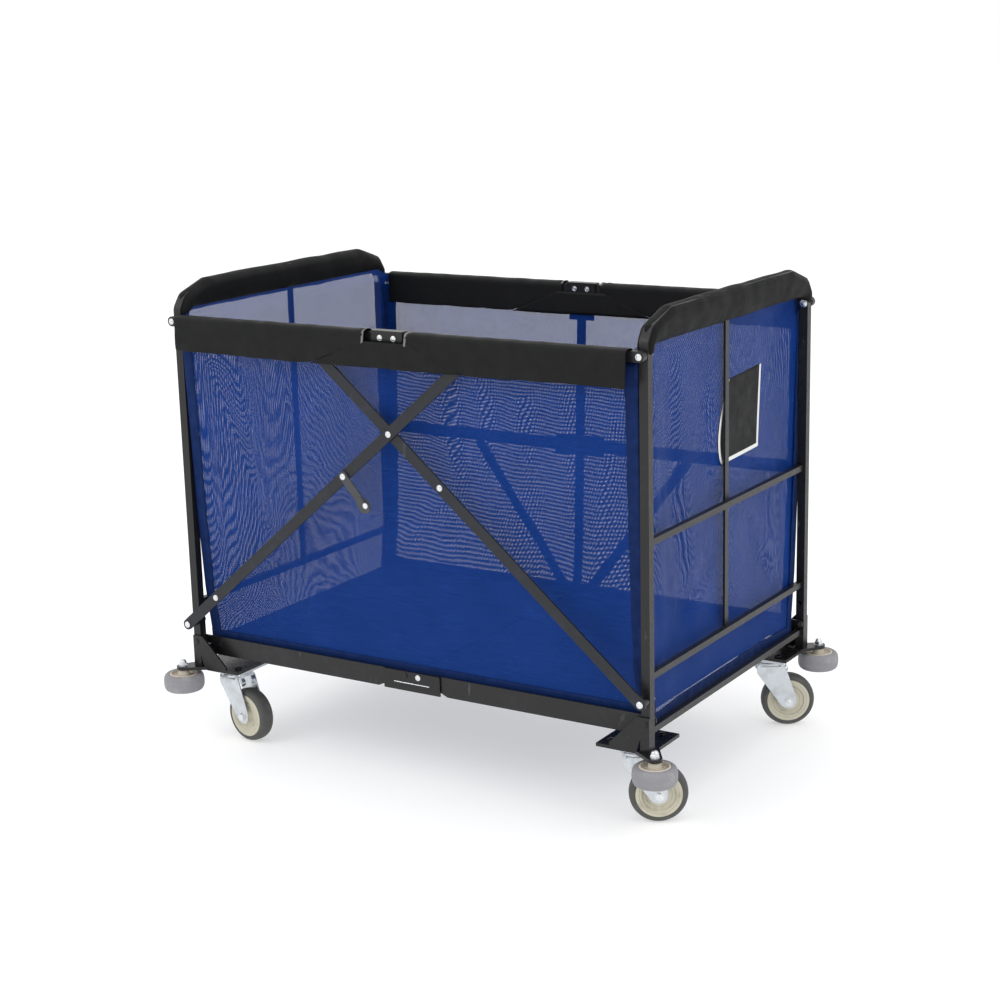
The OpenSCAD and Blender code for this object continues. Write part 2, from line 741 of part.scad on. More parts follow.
module bumper_core_front_left() { at_roller(-1, -1) bumper_core(); }
module bumper_core_back_left() { at_roller(-1, 1) bumper_core(); }
module bumper_core_front_right() { at_roller(1, -1) bumper_core(); }
module bumper_core_back_right() { at_roller(1, 1) bumper_core(); }

module bumper_tyre_front_left() { at_roller(-1, -1) bumper_tyre(); }
module bumper_tyre_back_left() { at_roller(-1, 1) bumper_tyre(); }
module bumper_tyre_front_right() { at_roller(1, -1) bumper_tyre(); }
module bumper_tyre_back_right() { at_roller(1, 1) bumper_tyre(); }

left_hoop();
left_strut();
left_rungs();
left_corner_plates();
left_caster_plates();
left_hoop_sleeve();
left_wall();
left_floor_strip();
left_fasteners();
front_wall();
back_wall();
back_harness();
right_hoop();
right_strut();
right_rungs();
right_corner_plates();
right_caster_plates();
right_hoop_sleeve();
right_wall();
right_floor_strip();
right_fasteners();
label_patch();
left_top_rails();
right_top_rails();
left_top_sleeves();
right_top_sleeves();
centre_sleeves();
top_hinges();
top_hinge_pins();
left_bottom_rails();
right_bottom_rails();
bottom_hinges();
bottom_hinge_pins();
left_floor_board();
right_floor_board();
cross_bar_a();
cross_bar_b();
bar_a_rivets();
bar_b_rivet();
latch();
fork_front_left();
fork_back_left();
fork_front_right();
fork_back_right();
hub_front_left();
hub_back_left();
hub_front_right();
hub_back_right();
tyre_front_left();
tyre_back_left();
tyre_front_right();
tyre_back_right();
bumper_core_front_left();
bumper_core_back_left();
bumper_core_front_right();
bumper_core_back_right();
bumper_tyre_front_left();
bumper_tyre_back_left();
bumper_tyre_front_right();
bumper_tyre_back_right();
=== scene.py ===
import json
import math

import bmesh
import bpy
import numpy as np
from mathutils import Matrix, Vector, noise


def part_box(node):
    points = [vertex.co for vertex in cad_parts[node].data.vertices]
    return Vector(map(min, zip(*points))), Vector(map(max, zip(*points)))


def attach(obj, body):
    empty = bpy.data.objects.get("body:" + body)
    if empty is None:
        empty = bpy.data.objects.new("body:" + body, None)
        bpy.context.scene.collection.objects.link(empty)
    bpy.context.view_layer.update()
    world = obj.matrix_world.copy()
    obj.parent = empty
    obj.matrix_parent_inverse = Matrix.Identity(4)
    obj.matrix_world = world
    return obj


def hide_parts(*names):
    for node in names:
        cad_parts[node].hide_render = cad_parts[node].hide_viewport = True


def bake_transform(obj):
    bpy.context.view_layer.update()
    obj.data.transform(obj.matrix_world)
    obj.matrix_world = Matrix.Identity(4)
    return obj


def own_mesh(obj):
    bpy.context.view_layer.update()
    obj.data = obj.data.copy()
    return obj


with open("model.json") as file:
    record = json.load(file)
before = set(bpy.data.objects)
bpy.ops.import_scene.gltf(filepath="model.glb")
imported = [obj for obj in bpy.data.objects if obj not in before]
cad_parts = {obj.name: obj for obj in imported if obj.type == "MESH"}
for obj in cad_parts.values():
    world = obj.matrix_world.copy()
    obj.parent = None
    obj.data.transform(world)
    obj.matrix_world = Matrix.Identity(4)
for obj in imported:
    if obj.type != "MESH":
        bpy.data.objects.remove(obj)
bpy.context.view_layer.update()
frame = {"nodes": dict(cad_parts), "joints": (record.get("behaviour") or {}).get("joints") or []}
nodes = frame["nodes"]
joints = {j["name"]: j for j in frame["joints"]}
MM = 0.001
CORNERS = {
    "front_left": (-1, -1),
    "back_left": (-1, 1),
    "front_right": (1, -1),
    "back_right": (1, 1),
}


def in_mm(pairs):
    """Pairs given in millimetres, as metres."""
    return [(a * MM, b * MM) for a, b in pairs]


def facing(point, way):
    """A placement at a point, its own Z along Y; way is the side of Y it faces."""
    return Matrix.Translation(point) @ Matrix.Rotation(-way * math.pi / 2, 4, "X")


# ---------------------------------------------------------------- stage

def make_stage():
    """Pale floor, soft lights and the camera at the photograph's viewing angle."""
    yaw, pitch, roll = (math.radians(a) for a in (32.27596, 13.73656, -1.42221))
    forward = Vector((
        -math.sin(yaw) * math.cos(pitch),
        math.cos(yaw) * math.cos(pitch),
        -math.sin(pitch),
    ))
    level = Vector((math.cos(yaw), math.sin(yaw), 0))
    upward = level.cross(forward)
    right = level * math.cos(roll) + upward * math.sin(roll)
    up = upward * math.cos(roll) - level * math.sin(roll)
    data = bpy.data.cameras.new("camera")
    data.lens, data.sensor_width = 70.508, 36
    data.clip_start, data.clip_end = 0.1, 200
    camera = bpy.data.objects.new("camera", data)
    turn = Matrix((right, up, -forward)).transposed().to_4x4()
    camera.matrix_world = Matrix.Translation((1.90973, -3.01814, 1.32833)) @ turn
    bpy.context.scene.collection.objects.link(camera)
    bpy.context.scene.camera = camera

    mesh = bpy.data.meshes.new("floor")
    half = 40
    mesh.from_pydata(
        [(-half, -half, 0), (half, -half, 0), (half, half, 0), (-half, half, 0)],
        [], [(0, 1, 2, 3)],
    )
    floor = bpy.data.objects.new("floor", mesh)
    paper = bpy.data.materials.new("floor_paper")
    paper.use_nodes = True
    shader = paper.node_tree.nodes["Principled BSDF"]
    shader.inputs["Base Color"].default_value = (0.62, 0.62, 0.62, 1)
    shader.inputs["Emission Color"].default_value = (1, 1, 1, 1)
    shader.inputs["Emission Strength"].default_value = 0.45
    shader.inputs["Roughness"].default_value = 0.9
    mesh.materials.append(paper)
    bpy.context.scene.collection.objects.link(floor)

    world = bpy.data.worlds.new("studio")
    world.use_nodes = True
    world.node_tree.nodes["Background"].inputs["Color"].default_value = (1, 1, 1, 1)
    world.node_tree.nodes["Background"].inputs["Strength"].default_value = 1.0
    bpy.context.scene.world = world
    bpy.context.scene.view_settings.view_transform = "Standard"
    for name, place, size, power in (
        ("key", (-2.2, -3.4, 3.6), 2.4, 46),
        ("side", (3.8, -0.8, 2.6), 2.0, 22),
        ("top", (0.2, 0.6, 4.0), 3.0, 26),
    ):
        lamp = bpy.data.lights.new(name, "AREA")
        lamp.size, lamp.energy = size, power
        light = bpy.data.objects.new(name, lamp)
        light.location = place
        aim = Vector((0, 0, 0.4)) - Vector(place)
        light.rotation_euler = aim.to_track_quat("-Z", "Y").to_euler()
        bpy.context.scene.collection.objects.link(light)


# ---------------------------------------------------------------- materials

class Finish:
    """A procedural material; methods return node sockets to wire together."""

    def __init__(self, name, rough=0.5, metallic=0.0):
        self.material = bpy.data.materials.new(name)
        self.material.use_nodes = True
        self.tree = self.material.node_tree
        self.shader = self.tree.nodes["Principled BSDF"]
        self.set(Roughness=rough, Metallic=metallic)
        coordinates = self.tree.nodes.new("ShaderNodeTexCoord")
        self.object, self.uv = coordinates.outputs["Object"], coordinates.outputs["UV"]

    def set(self, **values):
        for name, value in values.items():
            self.shader.inputs[name.replace("_", " ")].default_value = value

    def wire(self, socket, value):
        if isinstance(value, bpy.types.NodeSocket):
            self.tree.links.new(value, socket)
        elif value is not None:
            socket.default_value = value

    def noise(self, scale, detail=3.0, where=None, stretch=None, roughness=0.5):
        where = self.object if where is None else where
        if stretch:
            mapping = self.tree.nodes.new("ShaderNodeMapping")
            mapping.inputs["Scale"].default_value = stretch
            self.wire(mapping.inputs["Vector"], where)
            where = mapping.outputs["Vector"]
        n = self.tree.nodes.new("ShaderNodeTexNoise")
        self.wire(n.inputs["Vector"], where)
        n.inputs["Scale"].default_value = scale
        n.inputs["Detail"].default_value = detail
        n.inputs["Roughness"].default_value = roughness
        return n.outputs["Fac"]

    def cells(self, scale):
        n = self.tree.nodes.new("ShaderNodeTexVoronoi")
        self.wire(n.inputs["Vector"], self.object)
        n.inputs["Scale"].default_value = scale
        return n.outputs["Color"]

    def math(self, kind, a, b=None):
        n = self.tree.nodes.new("ShaderNodeMath")
        n.operation = kind
        self.wire(n.inputs[0], a)
        self.wire(n.inputs[1], b)
        return n.outputs[0]

    def span(self, value, low, high, out_low=0.0, out_high=1.0, smooth=False):
        n = self.tree.nodes.new("ShaderNodeMapRange")
        if smooth:
            n.interpolation_type = "SMOOTHSTEP"
        for name, v in (("Value", value), ("From Min", low), ("From Max", high),
                        ("To Min", out_low), ("To Max", out_high)):
            self.wire(n.inputs[name], v)
        return n.outputs["Result"]

    def mix(self, share, a, b):
        n = self.tree.nodes.new("ShaderNodeMix")
        n.data_type = "RGBA"
        self.wire(n.inputs[0], share)
        for socket, value in ((n.inputs[6], a), (n.inputs[7], b)):
            self.wire(socket, (*value, 1) if isinstance(value, tuple) else value)
        return n.outputs[2]

    def across(self):
        """The two flat coordinates of a sheet, in metres."""
        n = self.tree.nodes.new("ShaderNodeSeparateXYZ")
        self.wire(n.inputs[0], self.uv)
        return n.outputs[0], n.outputs[1]

    def box_axes(self):
        n = self.tree.nodes.new("ShaderNodeSeparateXYZ")
        self.wire(n.inputs[0], self.object)
        return n.outputs[0], n.outputs[1], n.outputs[2]

    def thread(self, along, pitch):
        """0 between threads to 1 on the middle of a thread."""
        ramp = self.math("PINGPONG", along, pitch / 2)
        return self.math("MULTIPLY", ramp, 2 / pitch)

    def bump(self, height, distance, strength=1.0, after=None):
        n = self.tree.nodes.new("ShaderNodeBump")
        n.inputs["Strength"].default_value = strength
        n.inputs["Distance"].default_value = distance
        self.wire(n.inputs["Height"], height)
        if after is not None:
            self.wire(n.inputs["Normal"], after)
        return n.outputs["Normal"]

    def use(self, colour=None, rough=None, normal=None, alpha=None):
        for name, value in (("Base Color", colour), ("Roughness", rough),
                            ("Normal", normal), ("Alpha", alpha)):
            if value is not None:
                self.wire(self.shader.inputs[name], value)
        return self.material


def painted_steel(name, colour, rough):
    """Powder-coated steel: orange peel, rubbed patches and a little dust."""
    f = Finish(name)
    peel = f.noise(900, 2)
    rubbed = f.span(f.noise(14, 6, roughness=0.7), 0.52, 0.72, smooth=True)
    scratch = f.span(f.noise(60, 4, stretch=(1, 6, 0.35)), 0.66, 0.74, smooth=True)
    lighter = tuple(min(1, c * 2.0 + 0.006) for c in colour)
    tint = f.mix(f.math("MULTIPLY", rubbed, 0.55), colour, lighter)
    tint = f.mix(f.math("MULTIPLY", scratch, 0.35), tint, (0.11, 0.11, 0.115))
    grain = f.span(f.noise(220, 3), 0.3, 0.7, rough - 0.09, rough + 0.11)
    f.set(Specular_IOR_Level=0.4)
    return f.use(tint, grain, f.bump(peel, 0.00025, 0.35))


def plated_steel(name, colour, rough):
    """Zinc plate: faint spangle, rolling marks and dull spots."""
    f = Finish(name, metallic=1.0)
    spangle = f.noise(1.0, 2, where=f.cells(170))
    marks = f.noise(240, 3, stretch=(1, 1, 0.06))
    dull = f.span(f.noise(35, 5), 0.45, 0.75, smooth=True)
    tint = f.mix(f.span(spangle, 0.3, 0.7, 0.0, 0.5), colour, tuple(c * 0.78 for c in colour))
    tint = f.mix(f.math("MULTIPLY", dull, 0.5), tint, (0.42, 0.43, 0.44))
    grain = f.math("ADD", f.span(marks, 0.3, 0.7, rough - 0.08, rough + 0.1),
                   f.math("MULTIPLY", dull, 0.18))
    return f.use(tint, grain, f.bump(marks, 0.0002, 0.25))


def moulded(name, colour, rough, grit, dirt):
    """Moulded plastic or rubber: fine texture, flow marks and grime."""
    f = Finish(name)
    fine = f.noise(grit, 3)
    soil = f.span(f.noise(28, 6, roughness=0.65), 0.48, 0.78, smooth=True)
    tint = f.mix(f.span(f.noise(9, 3), 0.3, 0.7), colour, tuple(c * 0.86 for c in colour))
    tint = f.mix(f.math("MULTIPLY", soil, 0.6), tint, dirt)
    grain = f.math("ADD", f.span(fine, 0.3, 0.7, rough - 0.06, rough + 0.08),
                   f.math("MULTIPLY", soil, 0.12))
    return f.use(tint, grain, f.bump(fine, 0.0003, 0.3))


def coated_cloth(name, colour, pitch=0.0009, rough=0.52):
    """Coated polyester cloth: plain weave under a soft shine, its thread crests painted lighter as
    a highlight, from the sheet's own UVs.
    """
    f = Finish(name)
    u, v = f.across()
    weft, warp = f.thread(u, pitch), f.thread(v, pitch)
    weave = f.math("MULTIPLY", weft, warp)
    mottle = f.noise(40, 5)
    worn = f.span(f.noise(11, 6, roughness=0.7), 0.5, 0.75, smooth=True)
    lighter = tuple(c * 1.7 + 0.0018 for c in colour)
    tint = f.mix(f.math("MULTIPLY", worn, 0.5), colour, lighter)
    # painted highlight: the raised thread crests of the weave are tinted lighter
    tint = f.mix(f.math("MULTIPLY", weave, 0.3), tint, lighter)
    normal = f.bump(weave, 0.00018, 0.6)
    normal = f.bump(mottle, 0.0012, 0.25, normal)
    f.set(Specular_IOR_Level=0.2)
    grain = f.span(mottle, 0.3, 0.7, rough - 0.07, rough + 0.12)
    return f.use(tint, grain, normal)


def solid_weave(name, colour, pitch=0.0012, rough=0.62):
    """The same cloth on a piece without UVs, from its place in the frame."""
    f = Finish(name)
    x, y, z = f.box_axes()
    threads = f.math("MULTIPLY", f.thread(f.math("ADD", x, z), pitch), f.thread(y, pitch))
    mottle = f.noise(30, 5)
    lighter = tuple(c * 1.5 + 0.0005 for c in colour)
    tint = f.mix(f.span(mottle, 0.35, 0.7), colour, lighter)
    # painted highlight: the raised thread crests are tinted lighter, following the same height as
    # the bump
    tint = f.mix(f.math("MULTIPLY", threads, 0.3), tint, lighter)
    normal = f.bump(threads, 0.0002, 0.6)
    normal = f.bump(mottle, 0.0014, 0.3, normal)
    f.set(Specular_IOR_Level=0.14)
    return f.use(tint, f.span(mottle, 0.3, 0.7, rough - 0.08, rough + 0.12), normal)


def webbing(name, colour):
    """Flat woven webbing: ribs across it and finer cords along it."""
    f = Finish(name)
    u, v = f.across()
    ribs = f.thread(v, 0.0016)
    cords = f.thread(u, 0.0011)
    mottle = f.noise(60, 4)
    darker = tuple(c * 0.62 for c in colour)
    tint = f.mix(f.span(mottle, 0.35, 0.7, 0, 0.6), colour, darker)
    # painted shade: the grooves between the ribs are tinted darker
    tint = f.mix(f.span(ribs, 0, 0.45, 0.55, 0, smooth=True), tint, darker)
    height = f.math("ADD", ribs, f.math("MULTIPLY", cords, 0.4))
    f.set(Specular_IOR_Level=0.14)
    return f.use(tint, f.span(mottle, 0.3, 0.7, 0.6, 0.8), f.bump(height, 0.0003, 0.7))


def open_mesh(name, colour, pitch_u=0.00125, pitch_v=0.0013, open_u=0.44, open_v=0.42):
    """Coated mesh cloth: round threads with square holes that are really open."""
    f = Finish(name)
    u, v = f.across()
    wobble = f.math("MULTIPLY", f.math("SUBTRACT", f.noise(55, 3, where=f.uv), 0.5), 0.0006)
    u, v = f.math("ADD", u, wobble), f.math("ADD", v, wobble)
    tu, tv = f.thread(u, pitch_u), f.thread(v, pitch_v)
    gap_u = f.span(tu, open_u - 0.12, open_u + 0.12, 1, 0, smooth=True)
    gap_v = f.span(tv, open_v - 0.12, open_v + 0.12, 1, 0, smooth=True)
    hole = f.math("MULTIPLY", gap_u, gap_v)
    streak = f.noise(1.0, 4, where=f.uv, stretch=(18, 700, 1))
    patch = f.noise(9, 4, where=f.uv)
    lighter = tuple(min(1, c * 1.4 + 0.002) for c in colour)
    tint = f.mix(f.span(streak, 0.35, 0.68), colour, lighter)
    tint = f.mix(f.span(patch, 0.35, 0.75, 0, 0.35), tint, tuple(c * 0.7 for c in colour))
    height = f.math("MAXIMUM", tu, tv)
    f.set(Specular_IOR_Level=0.08)
    grain = f.span(patch, 0.3, 0.7, 0.42, 0.6)
    return f.use(tint, grain, f.bump(height, 0.0004, 0.5), f.math("SUBTRACT", 1.0, hole))


BLUE = (0.003, 0.03, 0.175)
FINISH = {
    "frame": painted_steel("black_powder_coat", (0.0075, 0.0075, 0.0085), 0.36),
    "plate": painted_steel("black_gloss_plate", (0.0055, 0.0055, 0.006), 0.3),
    "bar": painted_steel("black_flat_bar", (0.0085, 0.0105, 0.0155), 0.42),
    "latch": painted_steel("grey_latch", (0.05, 0.052, 0.055), 0.42),
    "zinc": plated_steel("zinc_plate", (0.62, 0.66, 0.69), 0.3),
    "bolt": plated_steel("bright_bolt", (0.78, 0.8, 0.82), 0.2),
    "hub": moulded("cream_nylon", (0.56, 0.53, 0.42), 0.42, 700, (0.27, 0.24, 0.17)),
    "tyre": moulded("grey_tyre", (0.07, 0.071, 0.066), 0.65, 1200, (0.13, 0.125, 0.115)),
    "bumper": moulded("grey_bumper", (0.26, 0.255, 0.275), 0.62, 1400, (0.4, 0.39, 0.38)),
    "bumper_core": moulded("cream_core", (0.6, 0.54, 0.45), 0.46, 800, (0.34, 0.29, 0.22)),
    "sleeve": coated_cloth("black_sleeve", (0.0034, 0.0036, 0.0041)),
    "pad": solid_weave("black_pad", (0.0036, 0.0038, 0.0043), rough=0.6),
    "edge": coated_cloth("cut_edge", (0.17, 0.17, 0.16), 0.0012, 0.6),
    "mesh": open_mesh("blue_mesh", BLUE),
    "webbing": webbing("blue_webbing", (0.003, 0.019, 0.1)),
    "floor": solid_weave("blue_floor", (0.003, 0.021, 0.085)),
    "patch": coated_cloth("black_patch", (0.0065, 0.007, 0.008), 0.0012, 0.6),
    "border": coated_cloth("white_border", (0.75, 0.75, 0.74), 0.001, 0.6),
}


# ---------------------------------------------------------------- mesh tools

class Shape:
    """Gathers lofted and turned forms, then becomes one piece."""

    def __init__(self):
        self.points, self.faces, self.flat = [], [], []

    def loft(self, rings, closed=True, caps=True, flat=None):
        """Skins equal rings of points; flat gives each point's place on the flat cloth."""
        start, n = len(self.points), len(rings[0])
        for i, ring in enumerate(rings):
            self.points += [Vector(p) for p in ring]
            self.flat += flat[i] if flat else [(0.0, 0.0)] * n
        for i in range(len(rings) - 1):
            for j in range(n if closed else n - 1):
                a, b = start + i * n + j, start + i * n + (j + 1) % n
                self.faces.append((a, b, b + n, a + n))
        if closed and caps:
            self.faces.append(tuple(range(start + n - 1, start - 1, -1)))
            last = start + (len(rings) - 1) * n
            self.faces.append(tuple(range(last, last + n)))
        return self

    def turned(self, profile, place, segments=48, ring=False):
        """Turns (radius, height) points about place's Z axis; a ring profile is closed."""
        steps = [2 * math.pi * i / segments for i in range(segments)]
        if ring:
            rings = [[place @ Vector((r * math.cos(a), r * math.sin(a), h))
                      for r, h in profile] for a in steps]
            self.loft(rings + [rings[0]], closed=True, caps=False)
        else:
            self.loft([[place @ Vector((r * math.cos(a), r * math.sin(a), h))
                        for a in steps] for r, h in profile])
        return self

    def prism(self, outline, place, low, high, ease=0.0):
        """A flat plate from a closed outline, its rims eased by a small chamfer."""
        inner = shrink(outline, ease)
        rings = [(inner, low), (outline, low + ease), (outline, high - ease), (inner, high)]
        if not ease:
            rings = [(outline, low), (outline, high)]
        self.loft([[place @ Vector((x, y, h)) for x, y in ring] for ring, h in rings])
        return self

    def hexagon(self, place, across, low, high):
        """A nut: six sides with chamfered rims."""
        r, cut = across / 2 / math.cos(math.pi / 6), (high - low) * 0.16
        self.turned([(r * 0.88, low), (r, low + cut), (r, high - cut), (r * 0.88, high)],
                    place, 6)
        return self

    def dome(self, place, radius, low, height, segments=28):
        """A rivet or cap-nut head."""
        arc = [(radius * math.cos(a), low + height * math.sin(a))
               for a in [math.pi / 2 * i / 7 for i in range(7)]]
        self.turned([(radius * 0.96, low - 0.3 * MM)] + arc + [(radius * 0.05, low + height)],
                    place, segments)
        return self

    def piece(self, name, finish, body=None, smooth=38, weld=False):
        mesh = bpy.data.meshes.new(name)
        mesh.from_pydata(self.points, [], self.faces)
        layer = mesh.uv_layers.new(name="flat")
        for loop in mesh.loops:
            layer.data[loop.index].uv = self.flat[loop.vertex_index]
        work = bmesh.new()
        work.from_mesh(mesh)
        if weld:
            bmesh.ops.remove_doubles(work, verts=work.verts, dist=1e-6)
        bmesh.ops.recalc_face_normals(work, faces=work.faces)
        work.to_mesh(mesh)
        work.free()
        mesh.materials.append(FINISH[finish])
        mesh.shade_smooth()
        mesh.set_sharp_from_angle(angle=math.radians(smooth))
        made = bpy.data.objects.new(name, mesh)
        bpy.context.scene.collection.objects.link(made)
        if body:
            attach(made, body)
        return made


def shrink(outline, by):
    """The outline moved inwards by a little, for chamfers."""
    if not by:
        return outline
    area = sum(a[0] * b[1] - b[0] * a[1] for a, b in zip(outline, outline[1:] + outline[:1]))
    side, made = (1 if area > 0 else -1), []
    for i, p in enumerate(outline):
        a, b = Vector(outline[i - 1]), Vector(outline[(i + 1) % len(outline)])
        p = Vector(p)
        d1, d2 = (p - a).normalized(), (b - p).normalized()
        n = Vector((-d1.y - d2.y, d1.x + d2.x))
        n = n.normalized() if n.length > 1e-9 else Vector((-d1.y, d1.x))
        made.append(tuple(p + n * by * side))
    return made


def frame_at(origin, axis, start=None):
    """A matrix whose Z axis is the axis given, and whose X axis leans to start."""
    z = Vector(axis).normalized()
    hint = Vector(start) if start else (Vector((0, 0, 1)) if abs(z.z) < 0.9 else Vector((1, 0, 0)))
    x = (hint - z * hint.dot(z)).normalized()
    turn = Matrix((x, z.cross(x), z)).transposed().to_4x4()
    return Matrix.Translation(origin) @ turn


def smooth(a, b, t):
    t = min(1.0, max(0.0, (t - a) / (b - a)))
    return t * t * (3 - 2 * t)


def along(points, value):
    """Straight-line reading of a list of (position, value)."""
    return float(np.interp(value, [p[0] for p in points], [p[1] for p in points]))


def ridge(u, v, a, b, width):
    """Height of a soft fold that runs from a to b, fading at its ends."""
    d = (b[0] - a[0], b[1] - a[1])
    length2 = d[0] ** 2 + d[1] ** 2
    t = ((u - a[0]) * d[0] + (v - a[1]) * d[1]) / length2
    away = ((u - a[0]) * d[1] - (v - a[1]) * d[0]) / math.sqrt(length2)
    return math.exp(-(away / width) ** 2) * smooth(-0.25, 0.2, t) * (1 - smooth(0.8, 1.25, t))


def surface(name, finish, us, vs, place, flat, thick=0.0, body=None):
    """A sheet from a function of two flat coordinates."""
    rings = [[place(u, v) for v in vs] for u in us]
    spots = [[flat(u, v) for v in vs] for u in us]
    made = Shape().loft(rings, closed=False, flat=spots).piece(name, finish, smooth=80)
    if thick:
        m = made.modifiers.new("cloth_thickness", "SOLIDIFY")
        m.thickness, m.offset = thick, 0
    if body:
        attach(made, body)
    return made


def spread(low, high, step):
    n = max(2, int(round((high - low) / step)) + 1)
    return [low + (high - low) * i / (n - 1) for i in range(n)]


# ---------------------------------------------------------------- frame metal

def dress_frame():
    """Gives every carried-over CAD node its finish."""
    kinds = {
        "frame": ["hoop", "strut", "rungs"],
        "plate": ["corner_plates"],
        "zinc": ["caster_plates"],
    }
    for side in ("left", "right"):
        for finish, names in kinds.items():
            for n in names:
                paint(f"{side}_{n}", finish)
        paint(f"{side}_top_rails", "frame")
        paint(f"{side}_bottom_rails", "frame")
    for n, finish in (("top_hinges", "plate"), ("bottom_hinges", "plate"),
                      ("cross_bar_a", "bar"), ("cross_bar_b", "bar"), ("latch", "latch")):
        paint(n, finish)


def paint(node, finish):
    made = nodes[node]
    made.data.materials.clear()
    made.data.materials.append(FINISH[finish])


# ---------------------------------------------------------------- the bag

post_low, post_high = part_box("right_hoop")
POST_X = (post_low.x + post_high.x) / 2
WALL_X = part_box("right_wall")[1].x
FLOOR_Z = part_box("right_floor_board")[1].z
CORNER_X = WALL_X + 5.5 * MM
FLARE = [(0, 0.288), (0.21, 0.2895), (0.3, 0.302), (0.45, 0.312), (0.66, 0.32),
         (0.765, 0.3243), (0.9, 0.3243)]
HOOP_TOP = [(0, 0.834), (0.29, 0.834), (0.318, 0.82)]
HEM_Z = 0.191
END_HEM_Z = 0.177


def bag_half_y(z):
    return along(FLARE, z) - 0.5 * MM


def long_wall_out(x, z, seed):
    """How far a long wall stands off its flat place, outwards."""
    edge = smooth(0, 0.07, CORNER_X - abs(x)) * smooth(0, 0.05, z - FLOOR_Z)
    top = smooth(0.0, 0.05, 0.775 - z)
    belly = -5 * MM * math.sin(math.pi * min(1, max(0, (z - 0.2) / 0.6))) * math.cos(x * 3.0)
    drape = 2.4 * MM * math.sin(x * 61 + 3.1 * math.sin(x * 9 + seed)) * smooth(0.45, 0.78, z)
    broad = 5.5 * MM * (noise.noise(Vector((x * 5.2, z * 4.1, seed))))
    fine = 1.5 * MM * noise.noise(Vector((x * 17, z * 9, seed + 7)))
    creases = (
        -4 * MM * ridge(x, z, (-0.44, 0.78), (-0.30, 0.42), 0.022)
        - 3 * MM * ridge(x, z, (0.43, 0.76), (0.34, 0.34), 0.02)
        + 2.2 * MM * ridge(x, z, (-0.12, 0.76), (-0.2, 0.5), 0.025)
        - 3 * MM * ridge(x, z, (-0.45, 0.23), (-0.33, 0.36), 0.018)
        - 3 * MM * ridge(x, z, (0.45, 0.23), (0.3, 0.33), 0.018)
    )
    return (belly + broad + fine + drape * top + creases) * edge * smooth(0.0, 0.05, 0.765 - z)


def long_wall_point(x, z, side, seed, off=0.0):
    lift = long_wall_out(x, z, seed)
    return (x, side * (bag_half_y(z) + lift + off), z)


def end_wall_out(y, z, seed, strong):
    """How far an end wall stands off its flat place, outwards, clear of the strut."""
    half = bag_half_y(z)
    edge = smooth(0, 0.05, half - abs(y)) * smooth(0, 0.05, z - FLOOR_Z)
    if strong == 1.0:
        beside = max(abs(y - 0.07) - 0.085, abs(z - 0.647) - 0.08, 0)
        edge *= 0.12 + 0.88 * smooth(0, 0.07, beside)
    belly = -7 * MM * math.sin(math.pi * min(1, max(0, (z - 0.2) / 0.65)))
    broad = 7 * MM * noise.noise(Vector((y * 6, z * 4.5, seed)))
    folds = (
        -11 * MM * ridge(y, z, (-0.2, 0.8), (-0.13, 0.3), 0.03)
        + 6 * MM * ridge(y, z, (-0.26, 0.78), (-0.235, 0.35), 0.02)
        - 8 * MM * ridge(y, z, (0.27, 0.82), (0.14, 0.5), 0.03)
        + 6 * MM * ridge(y, z, (0.2, 0.8), (0.22, 0.3), 0.022)
        - 8 * MM * ridge(y, z, (-0.06, 0.72), (-0.02, 0.5), 0.03)
        - 5 * MM * ridge(y, z, (0.25, 0.25), (0.1, 0.42), 0.025)
        - 5 * MM * ridge(y, z, (-0.25, 0.25), (-0.05, 0.4), 0.025)
    )
    total = (belly + broad + folds * strong) * edge * smooth(0, 0.04, 0.827 - z)
    limit = 2.5 * MM + 4 * MM * smooth(0.012, 0.05, abs(y))
    return limit * math.tanh(total / limit) if total > 0 else total


def end_wall_point(y, z, side, seed, strong, off=0.0):
    corner = 6.3 * MM * smooth(0.15, 0.285, abs(y)) * smooth(0.0, 0.03, 0.81 - z)
    corner += 3.0 * MM * smooth(0.817, 0.831, z)
    return (side * (WALL_X - 1 * MM + corner + end_wall_out(y, z, seed, strong) + off), y, z)


def make_long_wall(side, name, seed):
    xs = spread(-CORNER_X, CORNER_X, 9 * MM)
    zs = spread(HEM_Z + 8 * MM, 0.803, 9 * MM)
    wall = surface(
        f"{name}_mesh", "mesh", xs, zs,
        lambda x, z: long_wall_point(x, z, side, seed), lambda x, z: (x, z),
    )
    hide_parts(f"{name}_wall")
    fold_with_cart(wall)
    hem = surface(
        f"{name}_hem", "webbing", xs, spread(HEM_Z + 4 * MM, HEM_Z + 26 * MM, 5.5 * MM),
        lambda x, z: long_wall_point(x, z, side, seed, 1.2 * MM), lambda x, z: (z, x),
        1.2 * MM,
    )
    fold_with_cart(hem)


def fold_with_cart(piece):
    """A piece across the whole length, hung on the root body with a mesh of its own."""
    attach(piece, "root")
    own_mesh(piece)


def make_end_wall(side, name, body, seed, strong):
    shares = [-1 + 2 * i / 64 for i in range(65)]
    rows = [i / 72 for i in range(73)]

    def spot(s, t):
        top = along(HOOP_TOP, abs(s) * 0.318)
        z = END_HEM_Z + t * (top - END_HEM_Z)
        return s * (bag_half_y(z) - 1 * MM), z

    wall = surface(
        f"{name}_mesh", "mesh", shares, rows,
        lambda s, t: end_wall_point(*spot(s, t), side, seed, strong),
        lambda s, t: spot(s, t), body=body,
    )
    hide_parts(f"{name}_wall")
    hem = surface(
        f"{name}_hem", "webbing", shares, [0, 0.25, 0.5, 0.75, 1],
        lambda s, t: end_wall_point(s * 0.287, END_HEM_Z + t * 0.022, side, seed, strong, 1 * MM),
        lambda s, t: (t * 0.022, s * 0.287), 1.2 * MM, body,
    )
    for end in (-1, 1):
        make_corner_binding(side, end, name, body, seed)


